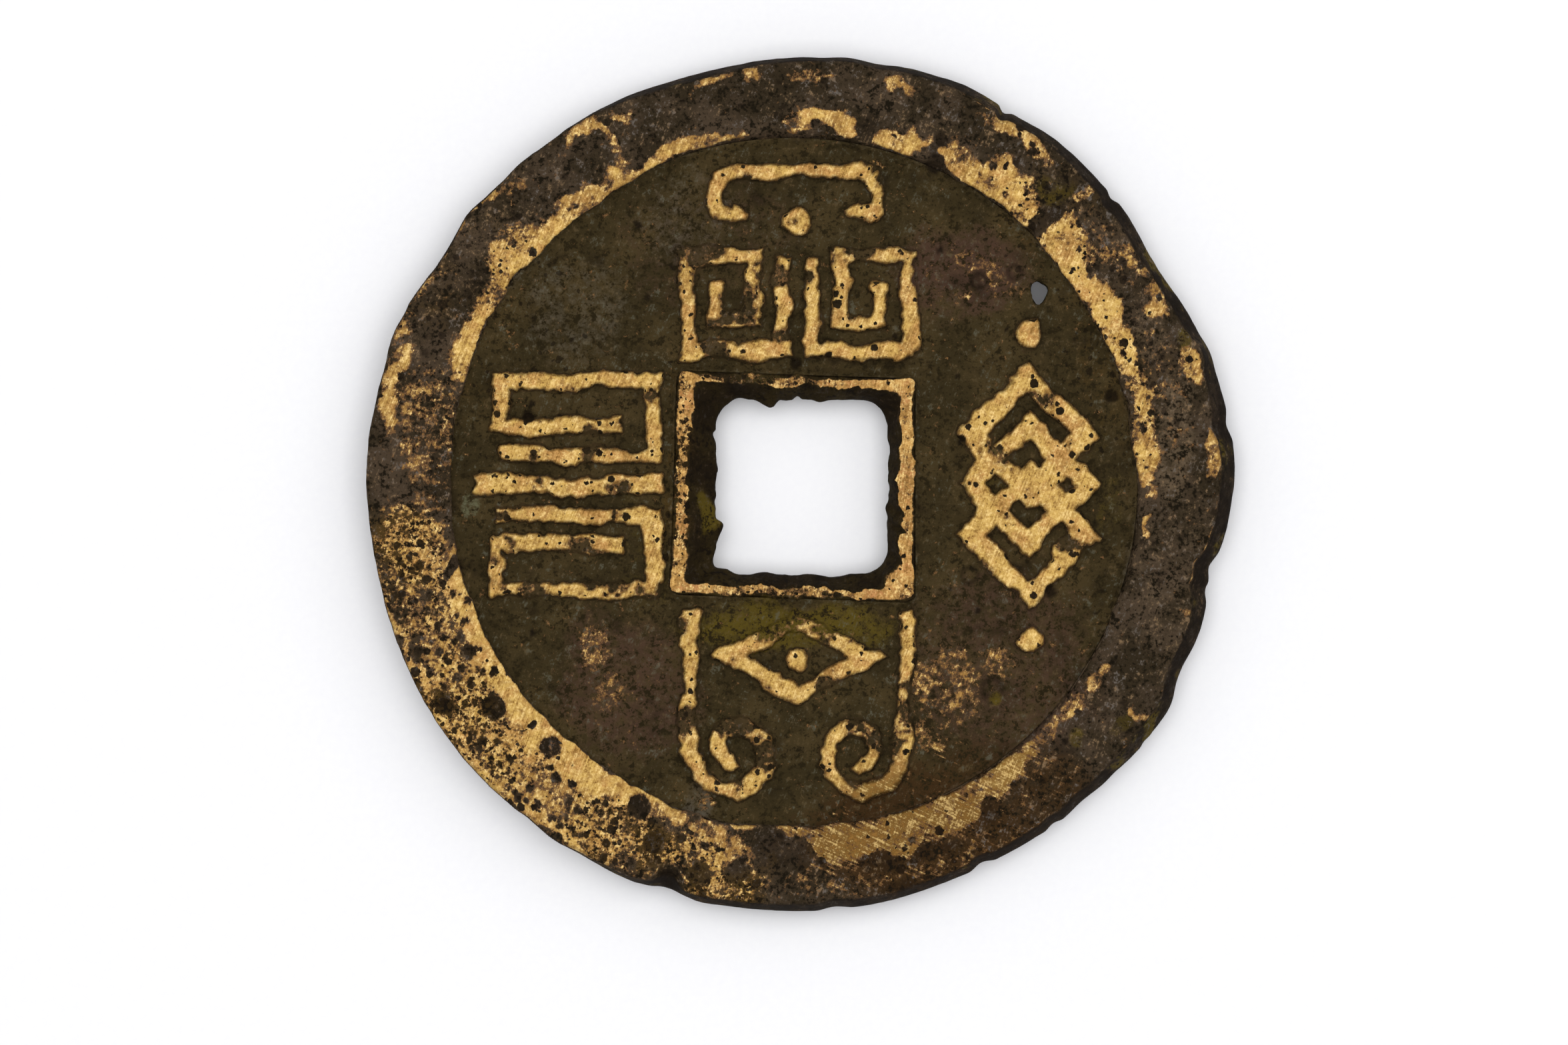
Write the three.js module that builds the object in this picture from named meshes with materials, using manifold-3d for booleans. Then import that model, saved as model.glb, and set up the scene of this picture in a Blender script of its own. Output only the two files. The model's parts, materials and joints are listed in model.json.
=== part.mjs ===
// A cast brass cash coin with a square hole, lying on its back face.
// Millimetres and degrees, +Z up. The origin is under the middle of the coin, on the surface it lies on.
// The real coin is one casting. Its outer rim, field, hole rim and raised ornaments are separate
// solids here, which meet face to face where the mould steps.
import * as THREE from "three";
import { mergeVertices } from "three/addons/utils/BufferGeometryUtils.js";
import Module from "manifold-3d";

// Thickness of the whole coin, how deep each field lies, and how far ornaments stay below the rim
const coinThickness = 2.6;
const frontDepth = 0.5;
const backDepth = 0.5;
const ornamentDrop = 0.08;

// Outer rim: its circle at the parting of the mould, and how far each face lies inside it
const coinRadius = 18.9;
const frontInset = 0.28;
const backInset = 0.25;
const rimWidth = 3.7;
const rimInnerDraft = 0.12;
const edgeRounding = 0.14;

// The two halves of the mould met a little out of line, just under the middle of the coin
const frontShift = new THREE.Vector2(-0.24, 0.06);
const backShift = new THREE.Vector2(0.1, -0.04);
const partingBelowMiddle = 0.1;
const partingLand = 0.5;

// Way through the hole: half its size along X and Y, with a short upright wall at the parting
const wayHalf = new THREE.Vector2(3.78, 3.84);
const wayCorner = 1.2;
const wayShift = new THREE.Vector2(0.2, -0.1);
const wayLand = 0.7;

// Rim round the hole: how far its wall slopes out from the way through, and its width
const holeSlope = new THREE.Vector2(0.84, 0.56);
const holeRimWidth = new THREE.Vector2(0.68, 0.5);
const holeRimDrop = 0.05;
const holeRimDraft = 0.1;
const holeRimCorner = 0.45;
const holeRimFrontShift = new THREE.Vector2(-0.14, -0.09);
const holeRimBackShift = new THREE.Vector2(0.16, -0.05);

// Ornaments: the strokes, the gap between neighbouring strokes, and the gap to both rims
const strokeWidth = 0.7;
const broadStrokeWidth = 0.94;
const strokeGap = 0.58;
const rimGap = 0.5;

// Half the width of the front ornaments, across their quarters
const topHalfWidth = 5.2;
const cloudHalfWidth = 4.3;
const leftHalfWidth = 5.0;
const bottomHalfWidth = 5.1;

// Sizes inside the front ornaments
const cloudHeight = 3.15;
const leftBarWidth = 0.84;
const rightLozengeHalfWidth = 3.3;
const rightLozengeInset = 1.05;
const rightLozengeCount = 3;
const bossRadius = 0.6;
const scrollEyeRadius = 0.42;

// Back ornaments
const crescentRadius = 2.9;
const crescentHollow = 1.3;
const starRadius = 0.9;
const backScrollHalfWidth = 4.8;
const backScrollRadius = 1.85;

// Casting flaw that goes right through the field, near the outer rim
const flawAngle = 38.5;
const flawRimGap = 1.0;
const flawHalf = new THREE.Vector2(0.38, 0.55);

// Bulges and hollows of the outline: where in degrees, half the angle that each covers, and its rise
const edgeMarks = [
  { at: 3, half: 13, rise: 0.3 },
  { at: 15, half: 8, rise: 0.16 },
  { at: 32, half: 12, rise: -0.26 },
  { at: 53, half: 8, rise: 0.14 },
  { at: 68, half: 9, rise: 0.22 },
  { at: 104, half: 16, rise: -0.15 },
  { at: 130, half: 14, rise: -0.13 },
  { at: 148, half: 7, rise: -0.16 },
  { at: 177, half: 15, rise: 0.18 },
  { at: 222, half: 24, rise: 0.13 },
  { at: 252, half: 5, rise: -0.14 },
  { at: 292, half: 26, rise: -0.18 },
  { at: 325, half: 9, rise: 0.22 },
  { at: 347, half: 7, rise: -0.42 },
];

// Steps along each side and round each corner of a square loop, and round each turn of a scroll
const sideSteps = 20;
const cornerSteps = 12;
const turnSteps = 22;

const loopSteps = 4 * (sideSteps + cornerSteps);
const fieldFront = coinThickness - frontDepth;
const fieldBack = backDepth;
const partingHeight = coinThickness / 2 - partingBelowMiddle;
const rimInnerRadius = coinRadius - rimWidth;
const holeMouthHalf = wayHalf.clone().add(holeSlope);
const holeRimHalf = holeMouthHalf.clone().add(holeRimWidth);
const strokePitch = strokeWidth + strokeGap;

const wasm = await Module();
wasm.setup();

// A closed geometry as a solid that can be joined or cut
function asSolid(geometry) {
  const bare = geometry.clone();
  bare.deleteAttribute("normal");
  bare.deleteAttribute("uv");
  const merged = mergeVertices(bare, 1e-4);
  return new wasm.Manifold(new wasm.Mesh({
    numProp: 3,
    vertProperties: new Float32Array(merged.attributes.position.array),
    triVerts: new Uint32Array(merged.index.array),
  }));
}

function asGeometry(solid) {
  const mesh = solid.getMesh();
  const geometry = new THREE.BufferGeometry();
  geometry.setAttribute("position", new THREE.BufferAttribute(new Float32Array(mesh.vertProperties), 3));
  geometry.setIndex(new THREE.BufferAttribute(new Uint32Array(mesh.triVerts), 1));
  geometry.computeVertexNormals();
  return geometry;
}

// How far the worn outline stands out from its circle, at an angle in degrees
function edgeRise(degrees) {
  return edgeMarks.reduce((total, mark) => {
    const away = Math.abs(THREE.MathUtils.euclideanModulo(degrees - mark.at + 180, 360) - 180);
    const share = away < mark.half ? Math.cos((away / mark.half) * (Math.PI / 2)) ** 2 : 0;
    return total + mark.rise * share;
  }, 0);
}

function roundLoop(radius, height, shift, worn = false) {
  return Array.from({ length: loopSteps }, (_, step) => {
    const degrees = (step / loopSteps) * 360;
    const angle = THREE.MathUtils.degToRad(degrees);
    const reach = radius + (worn ? edgeRise(degrees) : 0);
    return new THREE.Vector3(shift.x + reach * Math.cos(angle), shift.y + reach * Math.sin(angle), height);
  });
}

// A rectangle with round corners, which starts in the middle of its right side
function squareLoop(halfX, halfY, corner, height, shift) {
  const sides = [
    [new THREE.Vector2(halfX, corner - halfY), new THREE.Vector2(halfX, halfY - corner)],
    [new THREE.Vector2(halfX - corner, halfY), new THREE.Vector2(corner - halfX, halfY)],
    [new THREE.Vector2(-halfX, halfY - corner), new THREE.Vector2(-halfX, corner - halfY)],
    [new THREE.Vector2(corner - halfX, -halfY), new THREE.Vector2(halfX - corner, -halfY)],
  ];
  const points = sides.flatMap(([start, end], side) => {
    const inward = new THREE.Vector2(-corner, 0).rotateAround(new THREE.Vector2(), (side * Math.PI) / 2);
    const centre = end.clone().add(inward);
    return Array.from({ length: sideSteps + cornerSteps }, (_, step) => {
      if (step <= sideSteps) {
        return start.clone().lerp(end, step / sideSteps);
      }
      const turn = ((step - sideSteps) / cornerSteps) * (Math.PI / 2);
      return end.clone().rotateAround(centre, turn);
    });
  });
  const firstStep = Math.floor(sideSteps / 2);
  return points.map((_, step) => {
    const point = points[(step + firstStep) % loopSteps];
    return new THREE.Vector3(point.x + shift.x, point.y + shift.y, height);
  });
}

// A ring-shaped solid: each loop is joined to the next, and the last to the first
function loopSolid(loops) {
  const positions = loops.flat().flatMap((point) => point.toArray());
  const faces = [];
  loops.forEach((_, row) => {
    const here = row * loopSteps;
    const next = ((row + 1) % loops.length) * loopSteps;
    for (let step = 0; step < loopSteps; step++) {
      const after = (step + 1) % loopSteps;
      faces.push(here + step, next + after, here + after);
      faces.push(here + step, next + step, next + after);
    }
  });
  const geometry = new THREE.BufferGeometry();
  geometry.setAttribute("position", new THREE.Float32BufferAttribute(positions, 3));
  geometry.setIndex(faces);
  geometry.computeVertexNormals();
  return geometry;
}

// Where the field meets the two rims: the pieces on both sides share these loops
function holeFoot(height, shift) {
  const halfX = holeRimHalf.x + holeRimDraft;
  const halfY = holeRimHalf.y + holeRimDraft;
  return squareLoop(halfX, halfY, holeRimCorner + holeRimDraft, height, shift);
}

const rimFootFront = roundLoop(rimInnerRadius, fieldFront, frontShift);
const rimFootBack = roundLoop(rimInnerRadius, fieldBack, backShift);
const holeFootFront = holeFoot(fieldFront, holeRimFrontShift);
const holeFootBack = holeFoot(fieldBack, holeRimBackShift);

function outerRim() {
  const frontRadius = coinRadius - frontInset;
  const backRadius = coinRadius - backInset;
  const innerRadius = rimInnerRadius + rimInnerDraft;
  return loopSolid([
    roundLoop(frontRadius - edgeRounding, coinThickness, frontShift, true),
    roundLoop(frontRadius, coinThickness - edgeRounding, frontShift, true),
    roundLoop(coinRadius, partingHeight + partingLand / 2, backShift, true),
    roundLoop(coinRadius, partingHeight - partingLand / 2, backShift, true),
    roundLoop(backRadius, edgeRounding, backShift, true),
    roundLoop(backRadius - edgeRounding, 0, backShift, true),
    roundLoop(innerRadius, 0, backShift),
    rimFootBack,
    rimFootFront,
    roundLoop(innerRadius, coinThickness, frontShift),
  ]);
}

// Stands a little lower than the outer rim, and slopes down to the narrower way through
function holeRim() {
  const front = coinThickness - holeRimDrop;
  return loopSolid([
    holeFootFront,
    holeFootBack,
    squareLoop(holeRimHalf.x, holeRimHalf.y, holeRimCorner, holeRimDrop, holeRimBackShift),
    squareLoop(holeMouthHalf.x, holeMouthHalf.y, holeRimCorner, holeRimDrop, holeRimBackShift),
    squareLoop(wayHalf.x, wayHalf.y, wayCorner, partingHeight - wayLand / 2, wayShift),
    squareLoop(wayHalf.x, wayHalf.y, wayCorner, partingHeight + wayLand / 2, wayShift),
    squareLoop(holeMouthHalf.x, holeMouthHalf.y, holeRimCorner, front, holeRimFrontShift),
    squareLoop(holeRimHalf.x, holeRimHalf.y, holeRimCorner, front, holeRimFrontShift),
  ]);
}

function fieldPlate() {
  const plate = loopSolid([rimFootFront, rimFootBack, holeFootBack, holeFootFront]);
  const angle = THREE.MathUtils.degToRad(flawAngle);
  const reach = rimInnerRadius - flawRimGap - flawHalf.y;
  const flaw = new THREE.Shape();
  flaw.absellipse(reach * Math.cos(angle), reach * Math.sin(angle), flawHalf.x, flawHalf.y, 0, 2 * Math.PI);
  const prism = new THREE.ExtrudeGeometry(flaw, { depth: coinThickness, bevelEnabled: false });
  return asGeometry(asSolid(plate).subtract(asSolid(prism)));
}

// A stroke's outline, from the points of its centre line
function strokeShape(line, width) {
  const last = line.length - 1;
  const onLeft = [];
  const onRight = [];
  line.forEach((point, i) => {
    const arriving = point.clone().sub(line[Math.max(i - 1, 0)]).normalize();
    const leaving = line[Math.min(i + 1, last)].clone().sub(point).normalize();
    const edge = i === last ? arriving : leaving;
    const way = arriving.clone().add(leaving).normalize();
    const reach = width / 2 / way.dot(edge);
    onLeft.push(new THREE.Vector2(point.x - way.y * reach, point.y + way.x * reach));
    onRight.push(new THREE.Vector2(point.x + way.y * reach, point.y - way.x * reach));
  });
  return new THREE.Shape([...onRight, ...onLeft.reverse()]);
}

function raised(shape, face = "front") {
  const depth = (face === "front" ? frontDepth : backDepth) - ornamentDrop;
  const geometry = new THREE.ExtrudeGeometry(shape, { depth, bevelEnabled: false });
  return geometry.translate(0, 0, face === "front" ? fieldFront : fieldBack - depth);
}

// Each quarter has its own X across it and its own Y outwards from the hole
const quarterTurns = { top: 0, left: 90, bottom: 180, right: -90 };

function inQuarter(quarter, points) {
  const turn = THREE.MathUtils.degToRad(quarterTurns[quarter]);
  return points.map(([x, y]) => new THREE.Vector2(x, y).rotateAround(new THREE.Vector2(), turn));
}

function moved(points, x, y) {
  return points.map((point) => [point[0] + x, point[1] + y]);
}

function mirrored(points) {
  return points.map(([x, y]) => [-x, y]);
}

// Where a quarter's ornament starts, past the hole rim
function bandStart(quarter, shift = holeRimFrontShift) {
  const upright = quarter === "top" || quarter === "bottom";
  const foot = upright ? holeRimHalf.y + Math.abs(shift.y) : holeRimHalf.x + Math.abs(shift.x);
  return foot + holeRimDraft + rimGap;
}

// How far out an edge at this distance across the quarter may lie, inside the outer rim
function bandEnd(across, shift = frontShift) {
  const reach = rimInnerRadius - shift.length() - rimGap;
  return Math.sqrt(reach ** 2 - across ** 2);
}

// The centre line of a square spiral round the origin, from its outer end in, while there is room
function squareSpiral(width, height, pitch) {
  const room = { left: -width / 2, right: width / 2, low: -height / 2, high: height / 2 };
  const points = [[room.right, room.high]];
  for (let arm = 0; room.right >= room.left && room.high >= room.low; arm++) {
    const [x, y] = points[arm];
    if (arm % 4 === 0) {
      points.push([x, room.low]);
      room.right -= pitch;
    } else if (arm % 4 === 1) {
      points.push([room.left, y]);
      room.low += pitch;
    } else if (arm % 4 === 2) {
      points.push([x, room.high]);
      room.left += pitch;
    } else {
      points.push([room.right, y]);
      room.high -= pitch;
    }
  }
  return points;
}

// The centre line of a round scroll, from its outer end on the right side to its eye
function roundScroll(radius, pitch) {
  const turns = (radius - scrollEyeRadius) / pitch;
  const steps = Math.ceil(turns * turnSteps);
  return Array.from({ length: steps + 1 }, (_, step) => {
    const angle = (step / steps) * turns * 2 * Math.PI;
    const reach = THREE.MathUtils.lerp(radius, scrollEyeRadius, step / steps);
    return [reach * Math.cos(angle), reach * Math.sin(angle)];
  });
}

// How far a lozenge's sides lie from its middle
function lozengeReach(half) {
  return (half.x * half.y) / half.length();
}

// A lozenge of this half size, moved to its place, with its sides moved in by this much
function lozengeCorners(half, moveIn, x, y) {
  const scale = 1 - moveIn / lozengeReach(half);
  const [reachX, reachY] = [half.x * scale, half.y * scale];
  return moved([[reachX, 0], [0, reachY], [-reachX, 0], [0, -reachY]], x, y);
}

function lozengeRing(quarter, half, width, x, y) {
  const shape = new THREE.Shape(inQuarter(quarter, lozengeCorners(half, 0, x, y)));
  shape.holes.push(new THREE.Path(inQuarter(quarter, lozengeCorners(half, width, x, y))));
  return shape;
}

function disc(quarter, radius, x, y) {
  const [centre] = inQuarter(quarter, [[x, y]]);
  const shape = new THREE.Shape();
  shape.absarc(centre.x, centre.y, radius, 0, 2 * Math.PI);
  return shape;
}

const coin = new THREE.Group();
const finishes = {
  rim: { color: 0x6b5634, roughness: 0.5, metalness: 0.8 },
  field: { color: 0x3c3220, roughness: 0.75, metalness: 0.5 },
  rubbed: { color: 0xd0a45c, roughness: 0.4, metalness: 0.9 },
};

function addPiece(name, geometry, finish) {
  const mesh = new THREE.Mesh(geometry, new THREE.MeshStandardMaterial(finish));
  mesh.name = name;
  coin.add(mesh);
}

function addRaised(name, shape, face) {
  addPiece(name, raised(shape, face), finishes.rubbed);
}

function addStroke(name, quarter, line, width, face) {
  addRaised(name, strokeShape(inQuarter(quarter, line), width), face);
}

// Two square spirals, under a cloud whose ends curl in over a boss
function addTopOrnament() {
  const start = bandStart("top");
  const cloudEnd = bandEnd(cloudHalfWidth - cloudHeight / 2);
  const cloudStart = cloudEnd - cloudHeight;
  const fretHeight = cloudStart - strokeGap - start;
  const spiralWidth = topHalfWidth - strokeGap / 2 - strokeWidth;
  const spiral = squareSpiral(spiralWidth, fretHeight - strokeWidth, strokePitch);
  const right = moved(mirrored(spiral), (topHalfWidth + strokeGap / 2) / 2, start + fretHeight / 2);
  addStroke("front_top_fret_right", "top", right, strokeWidth);
  addStroke("front_top_fret_left", "top", mirrored(right), strokeWidth);

  const curlRadius = (cloudHeight - strokeWidth) / 2;
  const curl = roundScroll(curlRadius, strokePitch).map(([x, y]) => [y, x]);
  const rightHalf = moved(curl, cloudHalfWidth - cloudHeight / 2, cloudStart + cloudHeight / 2);
  addStroke("front_top_cloud", "top", [...mirrored(rightHalf).reverse(), ...rightHalf], strokeWidth);
  addRaised("front_top_boss", disc("top", bossRadius, 0, cloudStart + bossRadius));
}

// Two long square spirals, either side of a bar
function addLeftOrnament() {
  const start = bandStart("left");
  const end = bandEnd(leftHalfWidth);
  const innerEdge = leftBarWidth / 2 + strokeGap;
  const spiralWidth = leftHalfWidth - innerEdge - strokeWidth;
  const spiral = squareSpiral(spiralWidth, end - start - strokeWidth, strokePitch);
  const upper = moved(mirrored(spiral), (leftHalfWidth + innerEdge) / 2, (start + end) / 2);
  addStroke("front_left_fret_upper", "left", upper, strokeWidth);
  addStroke("front_left_fret_lower", "left", mirrored(upper), strokeWidth);
  addStroke("front_left_bar", "left", [[0, start], [0, bandEnd(leftBarWidth / 2)]], leftBarWidth);
}

// Two tall stems that curl in at their outer ends, over a lozenge with a boss in it
function addBottomOrnament() {
  const start = bandStart("bottom");
  const stem = bottomHalfWidth - strokeWidth / 2;
  const curlRadius = (stem - strokePitch / 2) / 2;
  const curlAcross = stem - curlRadius;
  const curlReach = bandEnd(0) - curlRadius - strokeWidth / 2;
  const curlOutward = Math.sqrt(curlReach ** 2 - curlAcross ** 2);
  const curl = moved(roundScroll(curlRadius, strokePitch), curlAcross, curlOutward);
  const scroll = [[stem, start], ...curl];
  addStroke("front_bottom_scroll_left", "bottom", scroll, strokeWidth);
  addStroke("front_bottom_scroll_right", "bottom", mirrored(scroll), strokeWidth);

  const lozengeEnd = curlOutward - curlRadius;
  const half = new THREE.Vector2(stem - strokeWidth / 2 - strokeGap, (lozengeEnd - start) / 2);
  const outward = (start + lozengeEnd) / 2;
  addRaised("front_bottom_lozenge", lozengeRing("bottom", half, strokeWidth, 0, outward));
  const eyeRadius = (lozengeReach(half) - strokeWidth) / 2;
  addRaised("front_bottom_boss", disc("bottom", eyeRadius, 0, outward));
}

// A row of linked lozenges of broad strokes, with a boss past each end
function addRightOrnament() {
  const [start, end] = [bandStart("right"), bandEnd(0)];
  const outward = (start + end) / 2;
  const half = new THREE.Vector2(rightLozengeHalfWidth, (end - start) / 2 - rightLozengeInset);
  const step = ((broadStrokeWidth + strokeGap) * half.x) / lozengeReach(half);
  const rowHalf = (step * (rightLozengeCount - 1)) / 2;
  const rings = Array.from({ length: rightLozengeCount }, (_, i) => {
    return raised(lozengeRing("right", half, broadStrokeWidth, i * step - rowHalf, outward));
  });
  const chain = rings.map(asSolid).reduce((joined, ring) => joined.add(ring));
  addPiece("front_right_lozenges", asGeometry(chain), finishes.rubbed);

  const bossAcross = rowHalf + half.x + strokeGap + bossRadius;
  addRaised("front_right_boss_upper", disc("right", bossRadius, -bossAcross, outward));
  addRaised("front_right_boss_lower", disc("right", bossRadius, bossAcross, outward));
}

// The middle of the back face's band between the two rims
function backMiddle(quarter) {
  return (bandStart(quarter, holeRimBackShift) + bandEnd(0, backShift)) / 2;
}

// A crescent with its horns outwards, and a round star between them
function addCrescent(quarter) {
  const outward = backMiddle(quarter) + crescentRadius / 2;
  const hollowRadius = Math.hypot(crescentRadius, crescentHollow);
  const horn = Math.atan2(crescentHollow, crescentRadius);
  const starOutward = outward + crescentHollow - hollowRadius + strokeGap + starRadius;
  const [centre, hollow] = inQuarter(quarter, [[0, outward], [0, outward + crescentHollow]]);
  const turn = THREE.MathUtils.degToRad(quarterTurns[quarter]);
  const shape = new THREE.Shape();
  shape.absarc(centre.x, centre.y, crescentRadius, turn + Math.PI, turn, false);
  shape.absarc(hollow.x, hollow.y, hollowRadius, turn - horn, turn + Math.PI + horn, true);
  addRaised(`back_${quarter}_crescent`, shape, "back");
  addRaised(`back_${quarter}_star`, disc(quarter, starRadius, 0, starOutward), "back");
}

// A bar with both ends curled outwards
function addBackScroll(quarter) {
  const curl = roundScroll(backScrollRadius, strokePitch).map(([x, y]) => [y, -x]);
  const across = backScrollHalfWidth - strokeWidth / 2 - backScrollRadius;
  const rightHalf = moved(curl, across, backMiddle(quarter));
  const line = [...mirrored(rightHalf).reverse(), ...rightHalf];
  addStroke(`back_${quarter}_scroll`, quarter, line, strokeWidth, "back");
}

addPiece("outer_rim", outerRim(), finishes.rim);
addPiece("field_plate", fieldPlate(), finishes.field);
addPiece("hole_rim", holeRim(), finishes.rim);
addTopOrnament();
addLeftOrnament();
addBottomOrnament();
addRightOrnament();
["top", "bottom"].forEach(addCrescent);
["left", "right"].forEach(addBackScroll);

export default coin;
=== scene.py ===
"""Dresses a worn cast brass cash coin and lights it as it lies on white paper.

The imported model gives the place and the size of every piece. The rims and the field are built
as fine closed rings over the solids' own loops, and each raised ornament as a worn relief over
the outline of its solid. Lengths are millimetres here, until a mesh is made.
"""
import json
import logging
import math
from dataclasses import dataclass, field
from enum import Enum
from functools import cached_property, partial
from typing import Callable, Hashable, Iterable, Sequence, TypeVar

import bpy
import numpy as np
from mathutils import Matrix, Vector


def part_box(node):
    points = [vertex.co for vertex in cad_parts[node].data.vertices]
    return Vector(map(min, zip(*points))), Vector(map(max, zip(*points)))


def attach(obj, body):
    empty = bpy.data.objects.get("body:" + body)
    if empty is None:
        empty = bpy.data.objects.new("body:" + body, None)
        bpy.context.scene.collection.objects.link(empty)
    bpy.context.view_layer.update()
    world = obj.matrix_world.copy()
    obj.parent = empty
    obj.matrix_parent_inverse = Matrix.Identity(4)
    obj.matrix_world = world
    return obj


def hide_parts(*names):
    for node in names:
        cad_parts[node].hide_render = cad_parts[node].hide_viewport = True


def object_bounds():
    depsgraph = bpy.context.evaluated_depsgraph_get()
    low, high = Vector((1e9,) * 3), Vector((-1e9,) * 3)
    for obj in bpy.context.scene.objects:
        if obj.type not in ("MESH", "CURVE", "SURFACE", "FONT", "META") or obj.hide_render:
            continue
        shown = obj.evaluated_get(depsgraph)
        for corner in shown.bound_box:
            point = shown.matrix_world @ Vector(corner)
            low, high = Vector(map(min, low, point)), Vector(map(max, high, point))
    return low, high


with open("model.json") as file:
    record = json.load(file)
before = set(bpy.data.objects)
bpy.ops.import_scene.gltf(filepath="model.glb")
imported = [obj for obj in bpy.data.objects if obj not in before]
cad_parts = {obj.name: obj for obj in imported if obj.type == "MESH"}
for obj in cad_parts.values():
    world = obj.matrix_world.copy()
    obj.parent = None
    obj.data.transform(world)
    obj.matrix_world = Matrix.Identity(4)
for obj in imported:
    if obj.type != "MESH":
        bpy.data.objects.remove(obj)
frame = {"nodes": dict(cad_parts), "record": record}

MM = 0.001
CAD_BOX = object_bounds()
LOG = logging.getLogger("cash_coin")

Colour = tuple[float, float, float, float]
Pair = tuple[float, float]
Array = np.ndarray
Finish = bpy.types.Material
Socket = bpy.types.NodeSocket
Item = TypeVar("Item")

# The curve of a screen: a straight start up to a knee, then a power.
SCREEN_KNEE, SCREEN_SLOPE = 0.04, 12.92
SCREEN_LIFT, SCREEN_POWER = 0.055, 2.4


class Tone(Enum):
    """What each mesh point tells its finish, from 0 to 1."""

    WEAR = "wear"
    PITTED = "pitted"
    FILED = "filed"
    # Dirt, and on the rim's outer wall also painted shade.
    GRIME = "grime"
    # Dust, and on the rim's inner wall and the field's corners also painted light.
    DUST = "dust"
    PLUM = "plum"
    MOSS = "moss"
    VERDIGRIS = "verdigris"


class Side(Enum):
    """The two faces of the coin, with the way each looks along Z."""

    FRONT = 1
    BACK = -1


def each(kind: Callable[..., Item], *rows: Sequence[float]) -> tuple[Item, ...]:
    """Makes an item of a kind from each row of numbers."""
    return tuple(kind(*row) for row in rows)


def colour(red: int, green: int, blue: int) -> Colour:
    """Turns a colour as it looks on a screen into Blender's linear values.

    Args:
        red, green, blue: each from 0 to 255.

    Returns:
        The linear colour, opaque.
    """
    parts = [value / 255 for value in (red, green, blue)]
    linear = [
        ((part + SCREEN_LIFT) / (1 + SCREEN_LIFT)) ** SCREEN_POWER
        if part > SCREEN_KNEE
        else part / SCREEN_SLOPE
        for part in parts
    ]
    return (*linear, 1.0)


def smooth(values: Array) -> Array:
    """Eases values from 0 to 1, and holds them there beyond."""
    held = np.clip(values, 0, 1)
    return held * held * (3 - 2 * held)


def ramp(values: Array, start: float, end: float) -> Array:
    """Eases from 0, where the values are at start, to 1, where they are at end."""
    return smooth((values - start) / (end - start))


def all_round(columns: int) -> Array:
    """Evenly spread angles, in degrees."""
    return np.arange(columns) * 360 / columns


def circle(degrees: Array, radius: float) -> Array:
    """Points at these angles round the coin's middle, n by 3."""
    turns = np.radians(degrees)
    return radius * np.stack([np.cos(turns), np.sin(turns), np.zeros_like(turns)], 1)


def angles_of(points: Array) -> Array:
    """The angle of each point round the coin's middle, in degrees."""
    return np.degrees(np.arctan2(points[:, 1], points[:, 0]))


def node_points(node: str) -> Array:
    """The corners of a CAD node's mesh in millimetres, n by 3."""
    mesh = frame["nodes"][node].data
    flat = np.zeros(len(mesh.vertices) * 3, np.float32)
    mesh.vertices.foreach_get("co", flat)
    return flat.reshape(-1, 3) / MM


def border(loops: Iterable[Sequence[Hashable]]) -> list[tuple[Hashable, Hashable]]:
    """Finds the edges that no two faces share.

    Args:
        loops: the corners of each face, in order.

    Returns:
        The start and the end of each such edge.
    """
    edges: dict[tuple[Hashable, Hashable], None] = {}
    for loop in loops:
        for start, end in zip(loop, [*loop[1:], loop[0]]):
            if (end, start) in edges:
                del edges[end, start]
            else:
                edges[start, end] = None
    return list(edges)


def quads_over(cells: Array) -> Array:
    """The quads over the chosen cells of a grid of points, n by 4."""
    columns = cells.shape[1] + 1
    row, column = np.nonzero(cells)
    corner = row * columns + column
    return np.stack([corner, corner + 1, corner + columns + 1, corner + columns], 1)


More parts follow.
